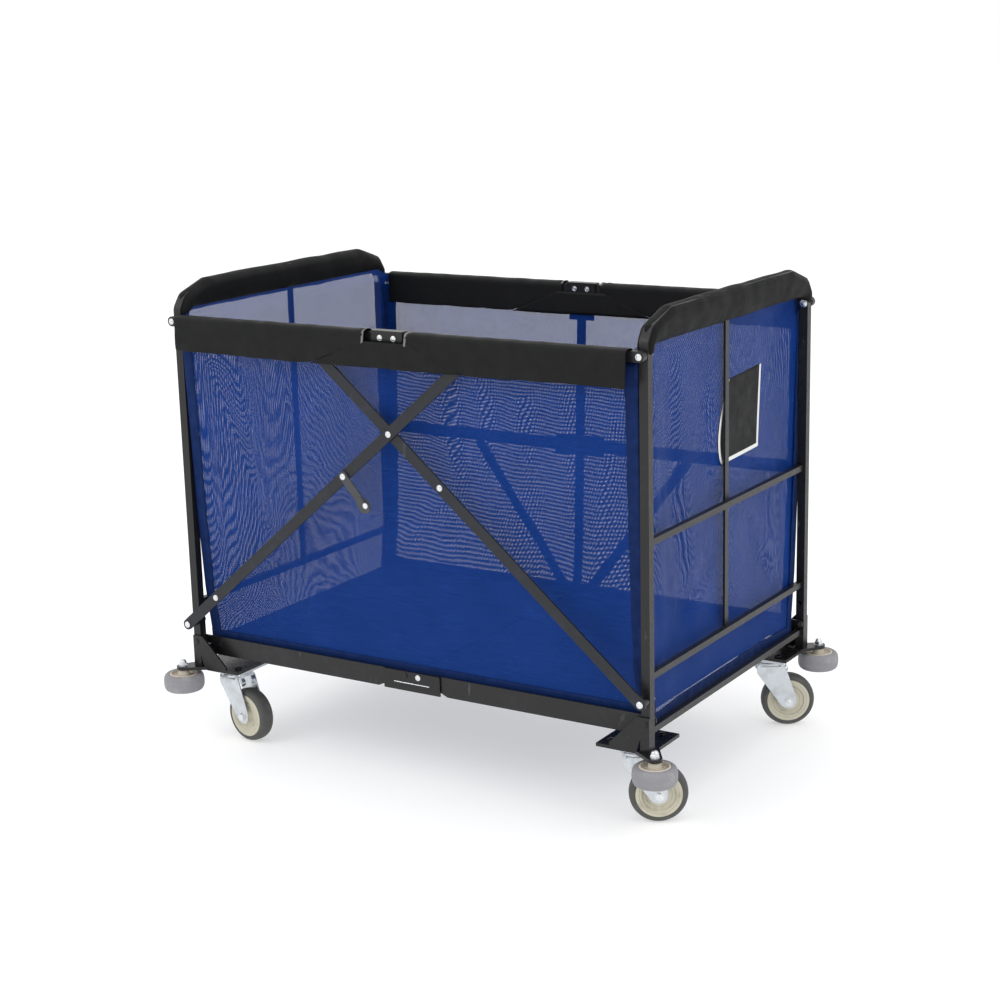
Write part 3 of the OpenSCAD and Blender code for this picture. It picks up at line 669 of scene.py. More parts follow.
def make_corner_binding(side, end, name, body, seed):
    """Webbing folded round an upright seam of the bag."""
    zs = spread(END_HEM_Z + 2 * MM, 0.8, 9 * MM)
    steps = [-22, -15, -8, -3, -0.8, 0.8, 3, 8, 15, 22]

    def place(u, z):
        half = bag_half_y(z)
        if u < 0:
            y = end * (half + 1 * MM + u * MM)
            ripple = 0.7 * MM * math.sin(z * 90 + u * 0.2) * smooth(3, 20, -u)
            return (side * (CORNER_X - 0.2 * MM + ripple), y, z)
        x = side * (CORNER_X - 0.2 * MM - u * MM)
        ripple = 0.9 * MM * math.sin(z * 77 + u * 0.3 + seed) * smooth(3, 20, u)
        return (x, end * (half + 1 * MM + ripple), z)

    strip = surface(
        f"{name}_binding_{'back' if end > 0 else 'front'}", "webbing", steps, zs,
        place, lambda u, z: (u * MM, z), 1.1 * MM, body,
    )


def strap(name, path, width, point, body=None):
    """Flat webbing sewn along a line on a wall."""
    a, b = Vector(path[0]), Vector(path[1])
    length = (b - a).length
    d = (b - a) / length
    n = Vector((-d.y, d.x))
    us = spread(0, length, 8 * MM)
    vs = [-width / 2 + width * i / 6 for i in range(7)]

    def place(u, v):
        p = a + d * u + n * v
        rim = 0.35 * MM * (1 - (2 * v / width) ** 2)
        return point(p.x, p.y, rim)

    made = surface(name, "webbing", us, vs, place, lambda u, v: (v, u), 1.3 * MM, body)
    return made


def make_harness():
    """Band, centre strap and V on the outside of the back wall."""
    def on_back(x, z, off):
        return long_wall_point(x, z, 1, BACK_SEED, 1.3 * MM + off)

    lines = {
        "band": ((-WALL_X + 6 * MM, 0.5), (WALL_X - 6 * MM, 0.5), 0.024),
        "centre": ((0, 0.205), (0, 0.765), 0.02),
        "centre_top": ((-0.028, 0.757), (0.028, 0.757), 0.014),
        "centre_patch": ((-0.055, 0.5), (0.055, 0.5), 0.04),
        "left_brace": ((-0.028, 0.207), (-0.242, 0.49), 0.02),
        "right_brace": ((0.028, 0.207), (0.242, 0.49), 0.02),
    }
    for n, (a, b, width) in lines.items():
        made = strap(f"harness_{n}", (a, b), width, on_back)
        fold_with_cart(made)
        if n == "band":
            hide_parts("back_harness")
    shape = Shape()
    middle = Vector((0.150, 0.368))
    d = (Vector((0.242, 0.49)) - Vector((0.028, 0.207))).normalized()
    across = Vector((-d.y, d.x))
    for u in (-9, 0, 9):
        ends = [middle + d * u * MM + across * v * MM for v in (-13, 13)]
        rod(shape, [Vector(on_back(p.x, p.y, 2 * MM)) for p in ends], 1.4 * MM)
    for v in (-13, 13):
        ends = [middle + d * u * MM + across * v * MM for u in (-9, 9)]
        rod(shape, [Vector(on_back(p.x, p.y, 2 * MM)) for p in ends], 1.4 * MM)
    buckle = shape.piece("harness_buckle", "plate")
    fold_with_cart(buckle)


def rod(shape, points, radius, segments=12):
    """A round rod through the points."""
    rings = []
    for i, p in enumerate(points):
        a, b = points[max(0, i - 1)], points[min(len(points) - 1, i + 1)]
        m = frame_at(p, b - a)
        rings.append([m @ Vector((radius * math.cos(t), radius * math.sin(t), 0))
                      for t in [2 * math.pi * k / segments for k in range(segments)]])
    shape.loft(rings)


def make_label():
    """Plain patch with a sewn border, no lettering."""
    corners = [(-0.0045, 0.570), (0.144, 0.5745), (0.155, 0.7235), (0.0185, 0.716)]

    def spot(s, t):
        low = Vector(corners[0]).lerp(Vector(corners[1]), s)
        high = Vector(corners[3]).lerp(Vector(corners[2]), s)
        p = low.lerp(high, t)
        p.x -= 0.021 * math.sin(math.pi * t ** 0.75) * (1 - s)
        return p

    def place(s, t, off):
        p = spot(s, t)
        return end_wall_point(p.x, p.y, 1, RIGHT_SEED, 1.0, off)

    steps = [i / 24 for i in range(25)]
    patch = surface("label_patch", "patch", steps, steps,
                    lambda s, t: place(s, t, 1.2 * MM),
                    lambda s, t: (s * 0.14, t * 0.145), 0.9 * MM, "right_end")
    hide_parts("label_patch")
    band = 0.046
    border = Shape()
    for fixed in ((0.0, band), (1 - band, 1.0)):
        rings = [[place(s, t, 2.0 * MM + rise) for s, rise in
                  ((fixed[0], -0.3 * MM), (sum(fixed) / 2, 0.2 * MM), (fixed[1], -0.3 * MM))]
                 for t in steps]
        spots = [[(s * 0.14, t * 0.145) for s in (fixed[0], sum(fixed) / 2, fixed[1])]
                 for t in steps]
        border.loft(rings, closed=False, flat=spots)
    rings = [[place(s, t, 2.0 * MM + rise) for t, rise in
              ((0.0, -0.3 * MM), (band / 2, 0.2 * MM), (band, -0.3 * MM))] for s in steps]
    spots = [[(s * 0.14, t * 0.145) for t in (0.0, band / 2, band)] for s in steps]
    border.loft(rings, closed=False, flat=spots)
    trim = border.piece("label_border", "border", "right_end", 80)
    m = trim.modifiers.new("cloth_thickness", "SOLIDIFY")
    m.thickness, m.offset = 0.5 * MM, 0


# ---------------------------------------------------------------- floor of the bag

def make_floor(side, name):
    """Cloth-covered board and the strip that joins it to the end wall."""
    board_low, board_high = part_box(f"{name}_floor_board")
    strip_low, strip_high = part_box(f"{name}_floor_strip")
    outer = max(abs(strip_low.x), abs(strip_high.x)) - 1.2 * MM
    inner = min(abs(board_low.x), abs(board_high.x)) + 0.4 * MM
    edge = max(abs(board_low.x), abs(board_high.x))
    xs = [inner, inner + 1.5 * MM, inner + 5 * MM, inner + 12 * MM]
    xs += spread(inner + 22 * MM, edge - 12 * MM, 12 * MM)
    xs += [edge - 4 * MM, edge, edge + 3 * MM, edge + 10 * MM, edge + 24 * MM,
           edge + 44 * MM, edge + 60 * MM, outer - 3 * MM, outer]
    half = board_high.y - 0.3 * MM
    top, thick = FLOOR_Z + 0.2 * MM, FLOOR_Z - board_low.z
    rings, count = [], 44
    for x in xs:
        puff = 1.1 * MM * noise.noise(Vector((x * 14, side * 3.0, 5)))
        cover = smooth(edge - 2 * MM, edge + 6 * MM, x)
        depth = thick * (1 - cover) + 2.4 * MM * cover
        close = min(1, (x - inner) / (4 * MM))
        shave = (1 - math.sqrt(max(0.0, 1 - (1 - close) ** 2))) * 2.6 * MM
        ring = []
        for i in range(count + 1):
            y = -half + 2 * half * i / count
            fall = smooth(0, 8 * MM, half - abs(y))
            lift = 1.3 * MM * noise.noise(Vector((x * 8 * side, y * 8, 3))) + puff
            z = top - 2.2 * MM * (1 - fall) + min(0.1 * MM, lift - 0.6 * MM) * fall
            z -= shave + 1.6 * MM * cover
            ring.append((side * x, y, z))
        for i in range(count, -1, -1):
            y = -half + 2 * half * i / count
            ring.append((side * x, y, top - depth + shave * 0.5))
        rings.append(ring)
    made = Shape().loft(rings).piece(f"{name}_floor", "floor", smooth=50)
    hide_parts(f"{name}_floor_board", f"{name}_floor_strip")
    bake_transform(made)


# ---------------------------------------------------------------- sleeves

def sleeve_section(side, x, low_in, low_out, seed):
    """Points of one cross-section: inner flap, over the rail, outer flap."""
    y_in, y_out = 0.3232, 0.3501
    points = []
    count = 9
    for i in range(count):
        z = low_in + (0.8155 - low_in) * i / (count - 1)
        sag = 1.6 * MM * noise.noise(Vector((x * 16, seed, 2))) * smooth(0.81, 0.77, z)
        points.append((y_in - abs(sag) * 0.9, z))
    crown = 1.0 * MM * noise.noise(Vector((x * 34, seed, 4)))
    for a in [math.pi * k / 10 for k in range(1, 10)]:
        middle, half = (y_in + y_out) / 2, (y_out - y_in) / 2
        points.append((middle - half * math.cos(a),
                       0.8155 + (9 * MM + crown * 0.6) * math.sin(a) ** 0.6))
    for i in range(count):
        t = i / (count - 1)
        z = 0.8155 - (0.8155 - low_out) * t
        wave = 1.5 * MM * math.sin(x * 43 + seed) + 2.6 * MM * noise.noise(
            Vector((x * 13, t * 1.2, seed)))
        points.append((y_out + (0.7 * MM + abs(wave)) * smooth(0.05, 1.0, t), z))
    return [(x, side * y, z) for y, z in points]


def make_top_sleeve(side, end, name, body, seed):
    """Coated cloth over half a top rail, gathered a little where it ends."""
    xs = spread(0.042, 0.4635, 5 * MM)
    rings, spots = [], []
    for x in xs:
        cut = along([(0.04, 0.804), (0.16, 0.7615)], x)
        ragged = 1.6 * MM * noise.noise(Vector((x * 30, seed, 9)))
        low_in = max(0.7615, cut) + ragged
        low_out = max(0.7615, cut) + ragged + 2.5 * MM * noise.noise(Vector((x * 7, seed, 1)))
        ring = sleeve_section(side, end * x, low_in, low_out, seed)
        gather = 1.4 * MM * math.sin(x * 900) * (1 - smooth(0.0, 0.03, x - 0.042))
        ring = [(p[0], p[1], p[2] + gather * smooth(0.8, 0.82, p[2])) for p in ring]
        rings.append(ring)
        far, row = 0.0, []
        for i, p in enumerate(ring):
            far += (Vector(p) - Vector(ring[i - 1])).length if i else 0
            row.append((x, far))
        spots.append(row)
    made = Shape().loft(rings, closed=False, flat=spots).piece(name, "sleeve", smooth=70)
    m = made.modifiers.new("cloth_thickness", "SOLIDIFY")
    m.thickness, m.offset = 1.2 * MM, 0
    m = made.modifiers.new("smoother", "SUBSURF")
    m.levels = m.render_levels = 1
    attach(made, body)
    edge = Shape()
    first = [Vector(p) for p in rings[0][9:]]
    rings2 = []
    for p, q in zip(first, [Vector(p) for p in rings[1][9:]]):
        out = Vector((0, side * 0.9 * MM, 0)) if p.z < 0.8155 else Vector((0, 0, 0.9 * MM))
        rings2.append([p + out, p.lerp(q, 0.8) + out])
    edge.loft(rings2, closed=False, flat=[[(0, i * 0.004), (0.004, i * 0.004)]
                                          for i in range(len(rings2))])
    trim = edge.piece(f"{name}_edge", "edge", body, 80)
    m = trim.modifiers.new("cloth_thickness", "SOLIDIFY")
    m.thickness, m.offset = 0.6 * MM, 0
    return made


def make_centre_sleeve(side, name, seed):
    """Loose flaps below a middle hinge, in front of and behind the rails."""
    for layer, y0 in (("outer", 0.3518), ("inner", 0.3213)):
        us = [-1 + 2 * i / 60 for i in range(61)]
        vs = [i / 8 for i in range(9)]

        def place(u, v):
            z = 0.806 - v * (0.045 + 1.5 * MM * noise.noise(Vector((u * 3, seed, 0))))
            x = u * along([(0.7615, 0.158), (0.799, 0.064), (0.806, 0.052)], z)
            wave = 1.6 * MM * abs(noise.noise(Vector((x * 18, v, seed)))) * smooth(0, 0.8, v)
            return (x, side * (y0 + (wave if layer == "outer" else -wave)), z)

        flap = surface(f"{name}_{layer}", "sleeve", us, vs, place,
                       lambda u, v: (u * 0.158, v * 0.045), 1.1 * MM, "top_hinge")
        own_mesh(flap)
        if side < 0 and layer == "outer":
            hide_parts("centre_sleeves")


HOOP_LINE = [(-0.3145, 0.812), (-0.3145, 0.8325), (-0.3, 0.852), (-0.238, 0.8725),
             (-0.2, 0.8725)]


def hoop_pad_mesh(side):
    """The pad as one closed form, to be swollen by the simulation."""
    line = HOOP_LINE + [(-0.1, 0.873), (0, 0.873), (0.1, 0.873)]
    line += [(-y, z) for y, z in reversed(HOOP_LINE)]
    path = []
    for a, b in zip(line, line[1:]):
        steps = max(1, int(math.dist(a, b) / 0.012))
        path += [(a[0] + (b[0] - a[0]) * i / steps, a[1] + (b[1] - a[1]) * i / steps)
                 for i in range(steps)]
    path.append(line[-1])
    rings = []
    for i, (y, z) in enumerate(path):
        a, b = path[max(0, i - 2)], path[min(len(path) - 1, i + 2)]
        d = Vector((b[0] - a[0], b[1] - a[1])).normalized()
        n = Vector((-d.y, d.x))
        ring = []
        low = 0.8215
        inner = Vector((y * 0.94, low)) if abs(y) > 0.29 else Vector((y, low))
        outer = Vector((y, z)) + n * (12.5 - 3.5 * smooth(0.29, 0.312, abs(y))) * MM
        core = Vector((y, z))
        for t in range(16):
            turn = 2 * math.pi * t / 16
            across, down = 12.6 * MM * math.sin(turn), math.cos(turn)
            if across * side < 0:
                across *= 1.24
            if down > 0:
                p = core + (outer - core) * down
            else:
                p = core + (inner - core) * (-down)
                across *= 1 - 0.22 * down * down
            ring.append((side * POST_X + across, p.x, p.y))
        rings.append(ring)
    return rings


def make_hoop_pad(side, name, body, seed):
    rings = hoop_pad_mesh(side)
    made = Shape().loft(rings).piece(f"{name}_hoop_pad", "pad", smooth=60)
    swell(made, SWELL_FRAMES, seed)
    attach(made, body)
    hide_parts(f"{name}_hoop_sleeve")
    return made


SWELL_FRAMES = 14
SWELL_CAP = 2.4 * MM


def swell(made, frames, seed):
    """Voxel remesh, a short pressure simulation with capped travel, then wrinkles."""
    bpy.context.view_layer.objects.active = made
    m = made.modifiers.new("even", "REMESH")
    m.mode, m.voxel_size = "VOXEL", 4.5 * MM
    bpy.context.view_layer.update()
    graph = bpy.context.evaluated_depsgraph_get()
    mesh = bpy.data.meshes.new_from_object(made.evaluated_get(graph))
    made.modifiers.clear()
    made.data = mesh
    rest = np.array([v.co for v in mesh.vertices], float)
    if frames:
        m = made.modifiers.new("cloth", "CLOTH")
        m.settings.use_pressure = True
        m.settings.uniform_pressure_force = 4
        m.settings.effector_weights.gravity = 0
        m.settings.tension_stiffness = m.settings.compression_stiffness = 12
        m.settings.bending_stiffness = 0.4
        m.point_cache.frame_start, m.point_cache.frame_end = 1, frames
        scene = bpy.context.scene
        for i in range(1, frames + 1):
            scene.frame_set(i)
        graph = bpy.context.evaluated_depsgraph_get()
        moved = np.array([v.co for v in made.evaluated_get(graph).data.vertices], float)
        made.modifiers.clear()
        scene.frame_set(1)
        step = moved - rest
        size = np.linalg.norm(step, axis=1, keepdims=True)
        rest += step * np.minimum(1, SWELL_CAP / np.maximum(size, 1e-9))
    outwards = np.array([made.data.vertices[i].normal for i in range(len(rest))])
    for i, p in enumerate(rest):
        fold = noise.noise(Vector((p[0] * 20, p[1] * 16, p[2] * 12)) + Vector((seed, 0, 0)))
        pull = noise.noise(Vector((p[0] * 10, p[1] * 24, p[2] * 14)) + Vector((0, seed, 0)))
        rest[i] = p + outwards[i] * (1.2 * MM * fold + 0.6 * MM * pull)
    made.data.vertices.foreach_set("co", rest.astype(np.float32).ravel())
    made.data.update()
    made.data.materials.clear()
    made.data.materials.append(FINISH["pad"])
    made.data.shade_smooth()
    m = made.modifiers.new("smoother", "SUBSURF")
    m.levels = m.render_levels = 1


# ---------------------------------------------------------------- running gear

def caster_place(corner):
    """The swivel frame of a caster: X trails, Z is up, the origin on the floor."""
    swivel = Vector(joints[f"swivel_{corner}"]["pos_m"])
    axle = Vector(joints[f"spin_{corner}"]["pos_m"])
    trail = Vector((axle.x - swivel.x, axle.y - swivel.y, 0)).normalized()
    side = Vector((0, 0, 1)).cross(trail)
    turn = Matrix((trail, side, Vector((0, 0, 1)))).transposed().to_4x4()
    return Matrix.Translation((swivel.x, swivel.y, 0)) @ turn, axle.z


def both_faces(profile):
    """A ring profile from its upper half, mirrored to the lower."""
    return profile + [(r, -h) for r, h in reversed(profile)]


def make_caster(corner):
    place, axle_z = caster_place(corner)
    axle = place @ Matrix.Translation((36 * MM, 0, axle_z)) @ Matrix.Rotation(
        math.pi / 2, 4, "X")
    hub = [(5.1, 18.3), (9.5, 18.4), (11.2, 17.6), (12.6, 14.6), (14.5, 12.6), (19, 11.7),
           (22, 11.9), (23, 12.9), (24.2, 12.9), (25.2, 11.9), (28, 12.2), (29.6, 14.3),
           (30.6, 15.3), (33.0, 15.4), (33.5, 14.7), (34.1, 14.7), (34.6, 15.5), (39.0, 15.6),
           (40.1, 15.1), (40.5, 14.2), (40.5, 6)]
    made = Shape().turned(both_faces(in_mm(hub)), axle, 96, ring=True)
    for i in range(5):
        for face in (-1, 1):
            spot = axle @ Matrix.Rotation(2 * math.pi * i / 5, 4, "Z")
            spot = spot @ Matrix.Translation((18.6 * MM, 0, 0))
            if face < 0:
                spot = spot @ Matrix.Rotation(math.pi, 4, "X")
            made.dome(spot, 1.5 * MM, 11.5 * MM, 0.7 * MM, 12)
    piece = made.piece(f"hub_disc_{corner}", "hub", f"wheel_{corner}", 30, weld=True)
    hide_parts(f"hub_{corner}")
    tyre = [(40.5, 14.0), (40.9, 14.7), (41.8, 15.0), (44.2, 14.8), (46.4, 14.0), (48.4, 12.0),
            (49.7, 9.2), (50.5, 5.5), (50.8, 0.7), (50.65, 0.3)]
    made = Shape().turned(both_faces(in_mm(tyre)), axle, 128, ring=True)
    piece = made.piece(f"tread_{corner}", "tyre", f"wheel_{corner}", 50, weld=True)
    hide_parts(f"tyre_{corner}")
    make_fork(corner, place, axle_z)


def rounded_outline(corners, radius, steps=5):
    """A closed outline with its corners rounded."""
    made, n = [], len(corners)
    for i in range(n):
        p, a, b = (Vector(corners[i]), Vector(corners[i - 1]), Vector(corners[(i + 1) % n]))
        r = radius[i] if isinstance(radius, (list, tuple)) else radius
        u, v = (a - p).normalized(), (b - p).normalized()
        reach = min(r / max(0.05, math.tan(u.angle(v) / 2)), (a - p).length / 2.1,
                    (b - p).length / 2.1)
        for k in range(steps + 1):
            t = k / steps
            made.append(tuple((p + u * reach) * (1 - t) ** 2 + p * 2 * t * (1 - t)
                              + (p + v * reach) * t ** 2))
    return made


def make_fork(corner, place, axle_z):
    """Pressed fork: crown, tapered cheeks with a rolled shoulder, race, nuts and strap."""
    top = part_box(f"fork_{corner}")[1].z / MM
    centre = axle_z / MM
    corners = [(-25, top - 3), (26, top - 3), (31, top - 16), (51, centre + 7),
               (49, centre - 10), (36, centre - 15), (23, centre - 10), (-25, top - 21)]
    outline = in_mm(rounded_outline(corners, [7, 7, 10, 16, 11, 9, 16, 10]))
    made = Shape()
    for side in (-1, 1):
        face = place @ Matrix(((1, 0, 0, 0), (0, 0, side, 0), (0, 1, 0, 0), (0, 0, 0, 1)))
        made.prism(outline, face, 19.3 * MM, 22.3 * MM, 0.7 * MM)
    rings = []
    for x in (-23.5, -20, -12, 0, 12, 20, 26.5):
        inset = 3.5 if x in (-23.5, 26.5) else 0
        section = []
        for y, z in ((-22.3, top - 9), (-22.3, top - 4), (-21.2, top - 1.6), (-18.6, top - 0.4),
                     (-12, top), (0, top), (12, top), (18.6, top - 0.4), (21.2, top - 1.6),
                     (22.3, top - 4), (22.3, top - 9), (19.3, top - 9), (19.3, top - 4.6),
                     (0, top - 4.6), (-19.3, top - 4.6), (-19.3, top - 9)):
            section.append(place @ (Vector((x, y * (1 - inset / 90), z - inset * 0.15)) * MM))
        rings.append(section)
    made.loft(rings)
    disc = [(28.6, top - 5), (29.4, top - 4.2), (29.4, top - 1), (28.6, top - 0.2),
            (24, top - 0.1), (7, top - 0.1), (6.15, top - 0.6), (6.15, top - 5)]
    made.turned(in_mm(disc), place, 64, ring=True)
    piece = made.piece(f"fork_shell_{corner}", "zinc", f"caster_{corner}", 34)
    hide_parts(f"fork_{corner}")
    bolts = Shape()
    for side in (-1, 1):
        spin = place @ Matrix.Translation((36 * MM, 0, axle_z)) @ Matrix.Rotation(
            -side * math.pi / 2, 4, "X")
        bolts.turned([(8.4 * MM, 22.3 * MM), (8.4 * MM, 23.3 * MM), (7.9 * MM, 23.6 * MM)],
                     spin, 32)
        bolts.hexagon(spin, 12.6 * MM, 23.4 * MM, 26.6 * MM)
        bolts.dome(spin, 3.6 * MM, 26.4 * MM, 1.2 * MM, 18)
    spin = place @ Matrix.Translation((36 * MM, 0, axle_z)) @ Matrix.Rotation(
        math.pi / 2, 4, "X")
    bolts.turned([(4.9 * MM, -22.5 * MM), (4.9 * MM, 22.5 * MM)], spin, 24)
    bolts.piece(f"axle_nuts_{corner}", "bolt", f"caster_{corner}", 30)
    clip = Shape()
    for side in (-1, 1):
        rings = []
        for i in range(9):
            a = math.pi * (0.02 + 0.5 * i / 8)
            x, z = 29 + 5 * math.sin(a * 1.6), top - 6 - 1.9 * i
            rings.append([place @ (Vector((x + dx, side * (12 + dy), z)) * MM)
                          for dx, dy in ((-0.7, -4), (0.7, -4), (0.7, 4), (-0.7, 4))])
        clip.loft(rings)
    clip.piece(f"fork_strap_{corner}", "zinc", f"caster_{corner}", 40)


def make_bumper(corner):
    low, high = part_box(f"bumper_tyre_{corner}")
    place = Matrix.Translation((low + high) / 2)
    core = [(5.15, 22.8), (9.4, 22.8), (10.2, 22), (12.4, 11), (14, 9.6), (20, 10.4),
            (22.4, 13.0), (23.6, 16.2), (24.6, 16.8), (26.2, 16.2), (27, 15.2), (27, -15.2),
            (26.2, -16.0), (24.6, -16.4), (23.4, -15.8), (22, -13), (13, -10.6), (11.4, -15.0),
            (10.6, -15.6), (5.15, -15.6)]
    made = Shape().turned(in_mm(core), place, 96, ring=True)
    for i in range(6):
        spot = place @ Matrix.Rotation(math.pi / 3 * i, 4, "Z")
        rib = [(12.6, -0.7), (21.6, -0.7), (21.6, 0.7), (12.6, 0.7)]
        made.prism(in_mm(rib), spot, 8 * MM, 11.6 * MM, 0.3 * MM)
    piece = made.piece(f"roller_core_{corner}", "bumper_core", f"roller_{corner}", 34, weld=True)
    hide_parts(f"bumper_core_{corner}")
    tyre = [(27.0, 15.4), (27.8, 16.1), (29.5, 16.2), (33.0, 15.6), (35.6, 13.6), (37.3, 10.2),
            (38.2, 5.6), (38.45, 0.5), (38.35, 0.2)]
    made = Shape().turned(both_faces(in_mm(tyre)), place, 112, ring=True)
    piece = made.piece(f"roller_tyre_{corner}", "bumper", f"roller_{corner}", 50, weld=True)
    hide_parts(f"bumper_tyre_{corner}")


# ---------------------------------------------------------------- fasteners

TOP_PIVOT_Z, LOW_PIVOT_Z, BAR_PIVOT_Z = 0.812, 0.198, 0.238
PLATE_BOLT_REACH = 32
ROLLER_BOLT = (505, 339)
HINGE_RIVET_X = 14 * MM


def rivet(shape, point, way, radius=6.0, height=2.4):
    """A domed head with a rolled rim; way is the side of Y that it faces."""
    r = radius * MM
    profile = [(r * 0.93, 0), (r, 0.3 * MM), (r, 0.9 * MM), (r * 0.93, 1.25 * MM),
               (r * 0.82, 1.35 * MM), (r * 0.72, 1.25 * MM), (r * 0.66, height * MM * 0.72),
               (r * 0.45, height * MM * 0.93), (r * 0.05, height * MM)]
    shape.turned(profile, facing(point, way), 36)


def nut(shape, point, way, across=12.6, depth=4.0):
    """A hexagon nut on a washer, with the bolt's end through it."""
    place = facing(point, way)
    shape.turned([(7.2 * MM, 0), (7.2 * MM, 0.9 * MM), (6.9 * MM, 1.1 * MM)], place, 30)
    shape.hexagon(place, across * MM, 1.1 * MM, depth * MM)
    shape.dome(place, 3.4 * MM, depth * MM - 0.2 * MM, 0.9 * MM, 18)


def pin(shape, x, z, y_from, y_to, radius=4.0):
    """A plain shank or spacer along Y."""
    shape.turned([(radius * MM, 0), (radius * MM, y_to - y_from)],
                 facing((x, y_from, z), 1), 28)


def make_fasteners(side, name, body):
    """Pivot rivets, caster bolts and roller bolts of one end."""
    bright, dark = Shape(), Shape()
    x = side * POST_X
    bar_face = (347.6 if side < 0 else 343.0) * MM
    for way in (-1, 1):
        rivet(bright, (x, way * 338.3 * MM, TOP_PIVOT_Z), way, 5.6)
        nut(bright, (x, way * 306 * MM, TOP_PIVOT_Z), -way)
        pin(bright, x, TOP_PIVOT_Z, *sorted((way * 302.5 * MM, way * 339 * MM)))
        rivet(dark, (x, way * 325.4 * MM, LOW_PIVOT_Z), way, 5.6)
        nut(dark, (x, way * 298 * MM, LOW_PIVOT_Z), -way, 11.8, 3.4)
        pin(dark, x, LOW_PIVOT_Z, *sorted((way * 296 * MM, way * 326.5 * MM)))
        pin(bright, x, TOP_PIVOT_Z, *sorted((way * 322 * MM, way * 325.8 * MM)), 6.8)
        pin(dark, x, LOW_PIVOT_Z, *sorted((way * 301.3 * MM, way * 306 * MM)), 6.8)
    rivet(bright, (x, -bar_face, BAR_PIVOT_Z), -1, 6.0)
    nut(bright, (x, -306 * MM, BAR_PIVOT_Z), 1)
    pin(bright, x, BAR_PIVOT_Z, -bar_face - 0.5 * MM, -302.5 * MM)
    pin(dark, x, BAR_PIVOT_Z, -bar_face + 4.7 * MM, -322 * MM, 7.6)
    centre_x = joints[f"swivel_front_{name}"]["pos_m"][0]
    centre_y = abs(joints[f"swivel_front_{name}"]["pos_m"][1])
    for way in (-1, 1):
        for dx in (-PLATE_BOLT_REACH, PLATE_BOLT_REACH):
            for dy in (-PLATE_BOLT_REACH, PLATE_BOLT_REACH):
                spot = Vector((centre_x + dx * MM, way * centre_y + dy * MM, 0))
                place = Matrix.Translation(spot)
                dark.turned([(5.9 * MM, 0.1498), (6.4 * MM, 0.1504), (6.1 * MM, 0.1518),
                             (4.6 * MM, 0.1528), (1.2 * MM, 0.1532)], place, 28)
                under = Matrix.Translation(spot + Vector((0, 0, 0.139))) @ Matrix.Rotation(
                    math.pi, 4, "X")
                bright.hexagon(under, 12.2 * MM, 0, 4 * MM)
                bright.dome(under, 3.4 * MM, 3.8 * MM, 1.4 * MM, 16)
        roller = Vector((side * ROLLER_BOLT[0] * MM, way * ROLLER_BOLT[1] * MM, 0))
        place = Matrix.Translation(roller)
        bright.turned([(8.6 * MM, 0.15), (8.6 * MM, 0.151), (8.2 * MM, 0.1513)], place, 32)
        bright.hexagon(place, 14.4 * MM, 0.1513, 0.157)
        bright.dome(place, 6.6 * MM, 0.157, 6.6 * MM, 32)
        bright.turned([(4.95 * MM, 0.097), (4.95 * MM, 0.155)], place, 24)
        dark.hexagon(place, 14.0 * MM, 0.0962, 0.1025)
        dark.dome(Matrix.Translation(roller + Vector((0, 0, 0.0964))) @ Matrix.Rotation(
            math.pi, 4, "X"), 4.6 * MM, 0, 1.6 * MM, 20)
    made = bright.piece(f"{name}_bright_fasteners", "bolt", body, 32)
    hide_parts(f"{name}_fasteners")
    dark.piece(f"{name}_dark_fasteners", "plate", body, 32)


def make_hinge_rivets():
    """Rivets of the middle hinges, and the bright wire below the bottom ones."""
    top, low, low_dark = Shape(), Shape(), Shape()
    for way in (-1, 1):
        for x in (-HINGE_RIVET_X, HINGE_RIVET_X):
            rivet(top, (x, way * 341.3 * MM, TOP_PIVOT_Z), way, 5.2, 2.1)
            rivet(top, (x, way * 322.7 * MM, TOP_PIVOT_Z), -way, 5.2, 1.2)
            pin(top, x, TOP_PIVOT_Z, *sorted((way * 322.9 * MM, way * 341.5 * MM)))
            kind = low_dark if x < 0 else low
            rivet(kind, (x, way * 304.3 * MM, LOW_PIVOT_Z), way, 5.4, 2.2)
            pin(kind, x, LOW_PIVOT_Z, *sorted((way * 296 * MM, way * 304.6 * MM)))
    made = top.piece("top_hinge_rivets", "bolt", "top_hinge", 32)
    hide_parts("top_hinge_pins")
    made = low.piece("bottom_hinge_rivets", "bolt", "bottom_hinge", 32)
    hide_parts("bottom_hinge_pins")
    low_dark.piece("bottom_hinge_rivets_dark", "plate", "bottom_hinge", 32)
    stop = Shape()
    for way in (-1, 1):
        rod(stop, [Vector((x, way * 304.9 * MM, z)) for x, z in
                   ((-0.0374, 0.1850), (0.0382, 0.1849))], 0.9 * MM)
    stop.piece("bottom_hinge_edge_wire", "bolt", "bottom_hinge", 40)


BAR_START = Vector((-0.48, 0.2380))
BAR_CROSSING = Vector((0, 0.6470))


def on_bar(reach, mirror=1):
    """A place on a crossed bar, at a distance from its pivot."""
    p = BAR_START + (BAR_CROSSING - BAR_START).normalized() * reach
    return mirror * p.x, p.y


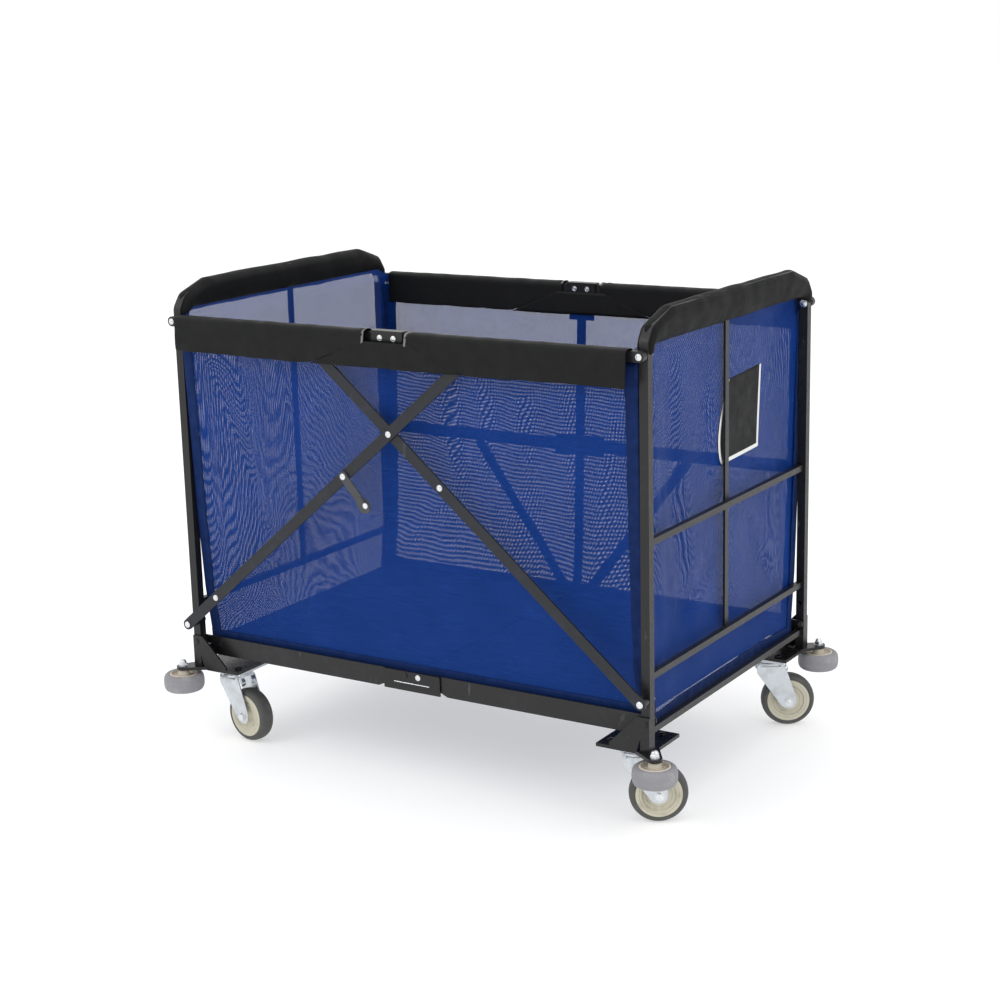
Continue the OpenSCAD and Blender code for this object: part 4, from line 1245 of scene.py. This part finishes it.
CROSSING_REACH = (BAR_CROSSING - BAR_START).length
RIVETS = {
    "bar_a_rivets": [
        (*on_bar(CROSSING_REACH), 0.3384, 0.3472),
        (*on_bar(CROSSING_REACH - 0.1283), 0.3434, 0.3512),
        (*on_bar(0.096), 0.3434, 0.3472),
    ],
    "bar_b_rivet": [(*on_bar(CROSSING_REACH - 0.1307, -1), 0.3388, 0.3426)],
}


def make_bar_rivets():
    """Rivets of the crossed bars, where the CAD has them, and the latch's."""
    for node, body in (("bar_a_rivets", "bar_a"), ("bar_b_rivet", "bar_b")):
        shape = Shape()
        for x, z, low, high in RIVETS[node]:
            rivet(shape, (x, -high, z), -1, 5.6, 2.3)
            pin(shape, x, z, -high - 0.4 * MM, -low)
        made = shape.piece(f"{node}_domed", "bolt", body, 32)
        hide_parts(node)
    shape = Shape()
    rivet(shape, (-0.0464, -0.358, 0.5185), -1, 5.2, 2.2)
    shape.piece("latch_rivet", "bolt", "latch", 32)


# ---------------------------------------------------------------- build

FRONT_SEED, BACK_SEED, RIGHT_SEED, LEFT_SEED = 11.3, 27.9, 4.7, 61.1

make_stage()
dress_frame()
make_fasteners(-1, "left", "root")
make_fasteners(1, "right", "right_end")
make_hinge_rivets()
make_bar_rivets()
make_long_wall(-1, "front", FRONT_SEED)
make_long_wall(1, "back", BACK_SEED)
make_end_wall(-1, "left", "root", LEFT_SEED, 0.5)
make_end_wall(1, "right", "right_end", RIGHT_SEED, 1.0)
make_harness()
make_label()
make_floor(-1, "left")
make_floor(1, "right")
for way, where in ((-1, "front"), (1, "back")):
    for end, half_name in ((-1, "left"), (1, "right")):
        sleeve = make_top_sleeve(way, end, f"{half_name}_sleeve_{where}",
                                 f"{half_name}_top", 3.7 * way + 9.1 * end + 20)
        if way < 0:
            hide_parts(f"{half_name}_top_sleeves")
    make_centre_sleeve(way, f"centre_sleeve_{where}", 5.5 + way)
make_hoop_pad(-1, "left", "root", 2.2)
make_hoop_pad(1, "right", "right_end", 8.6)
for corner_name in CORNERS:
    make_caster(corner_name)
    make_bumper(corner_name)
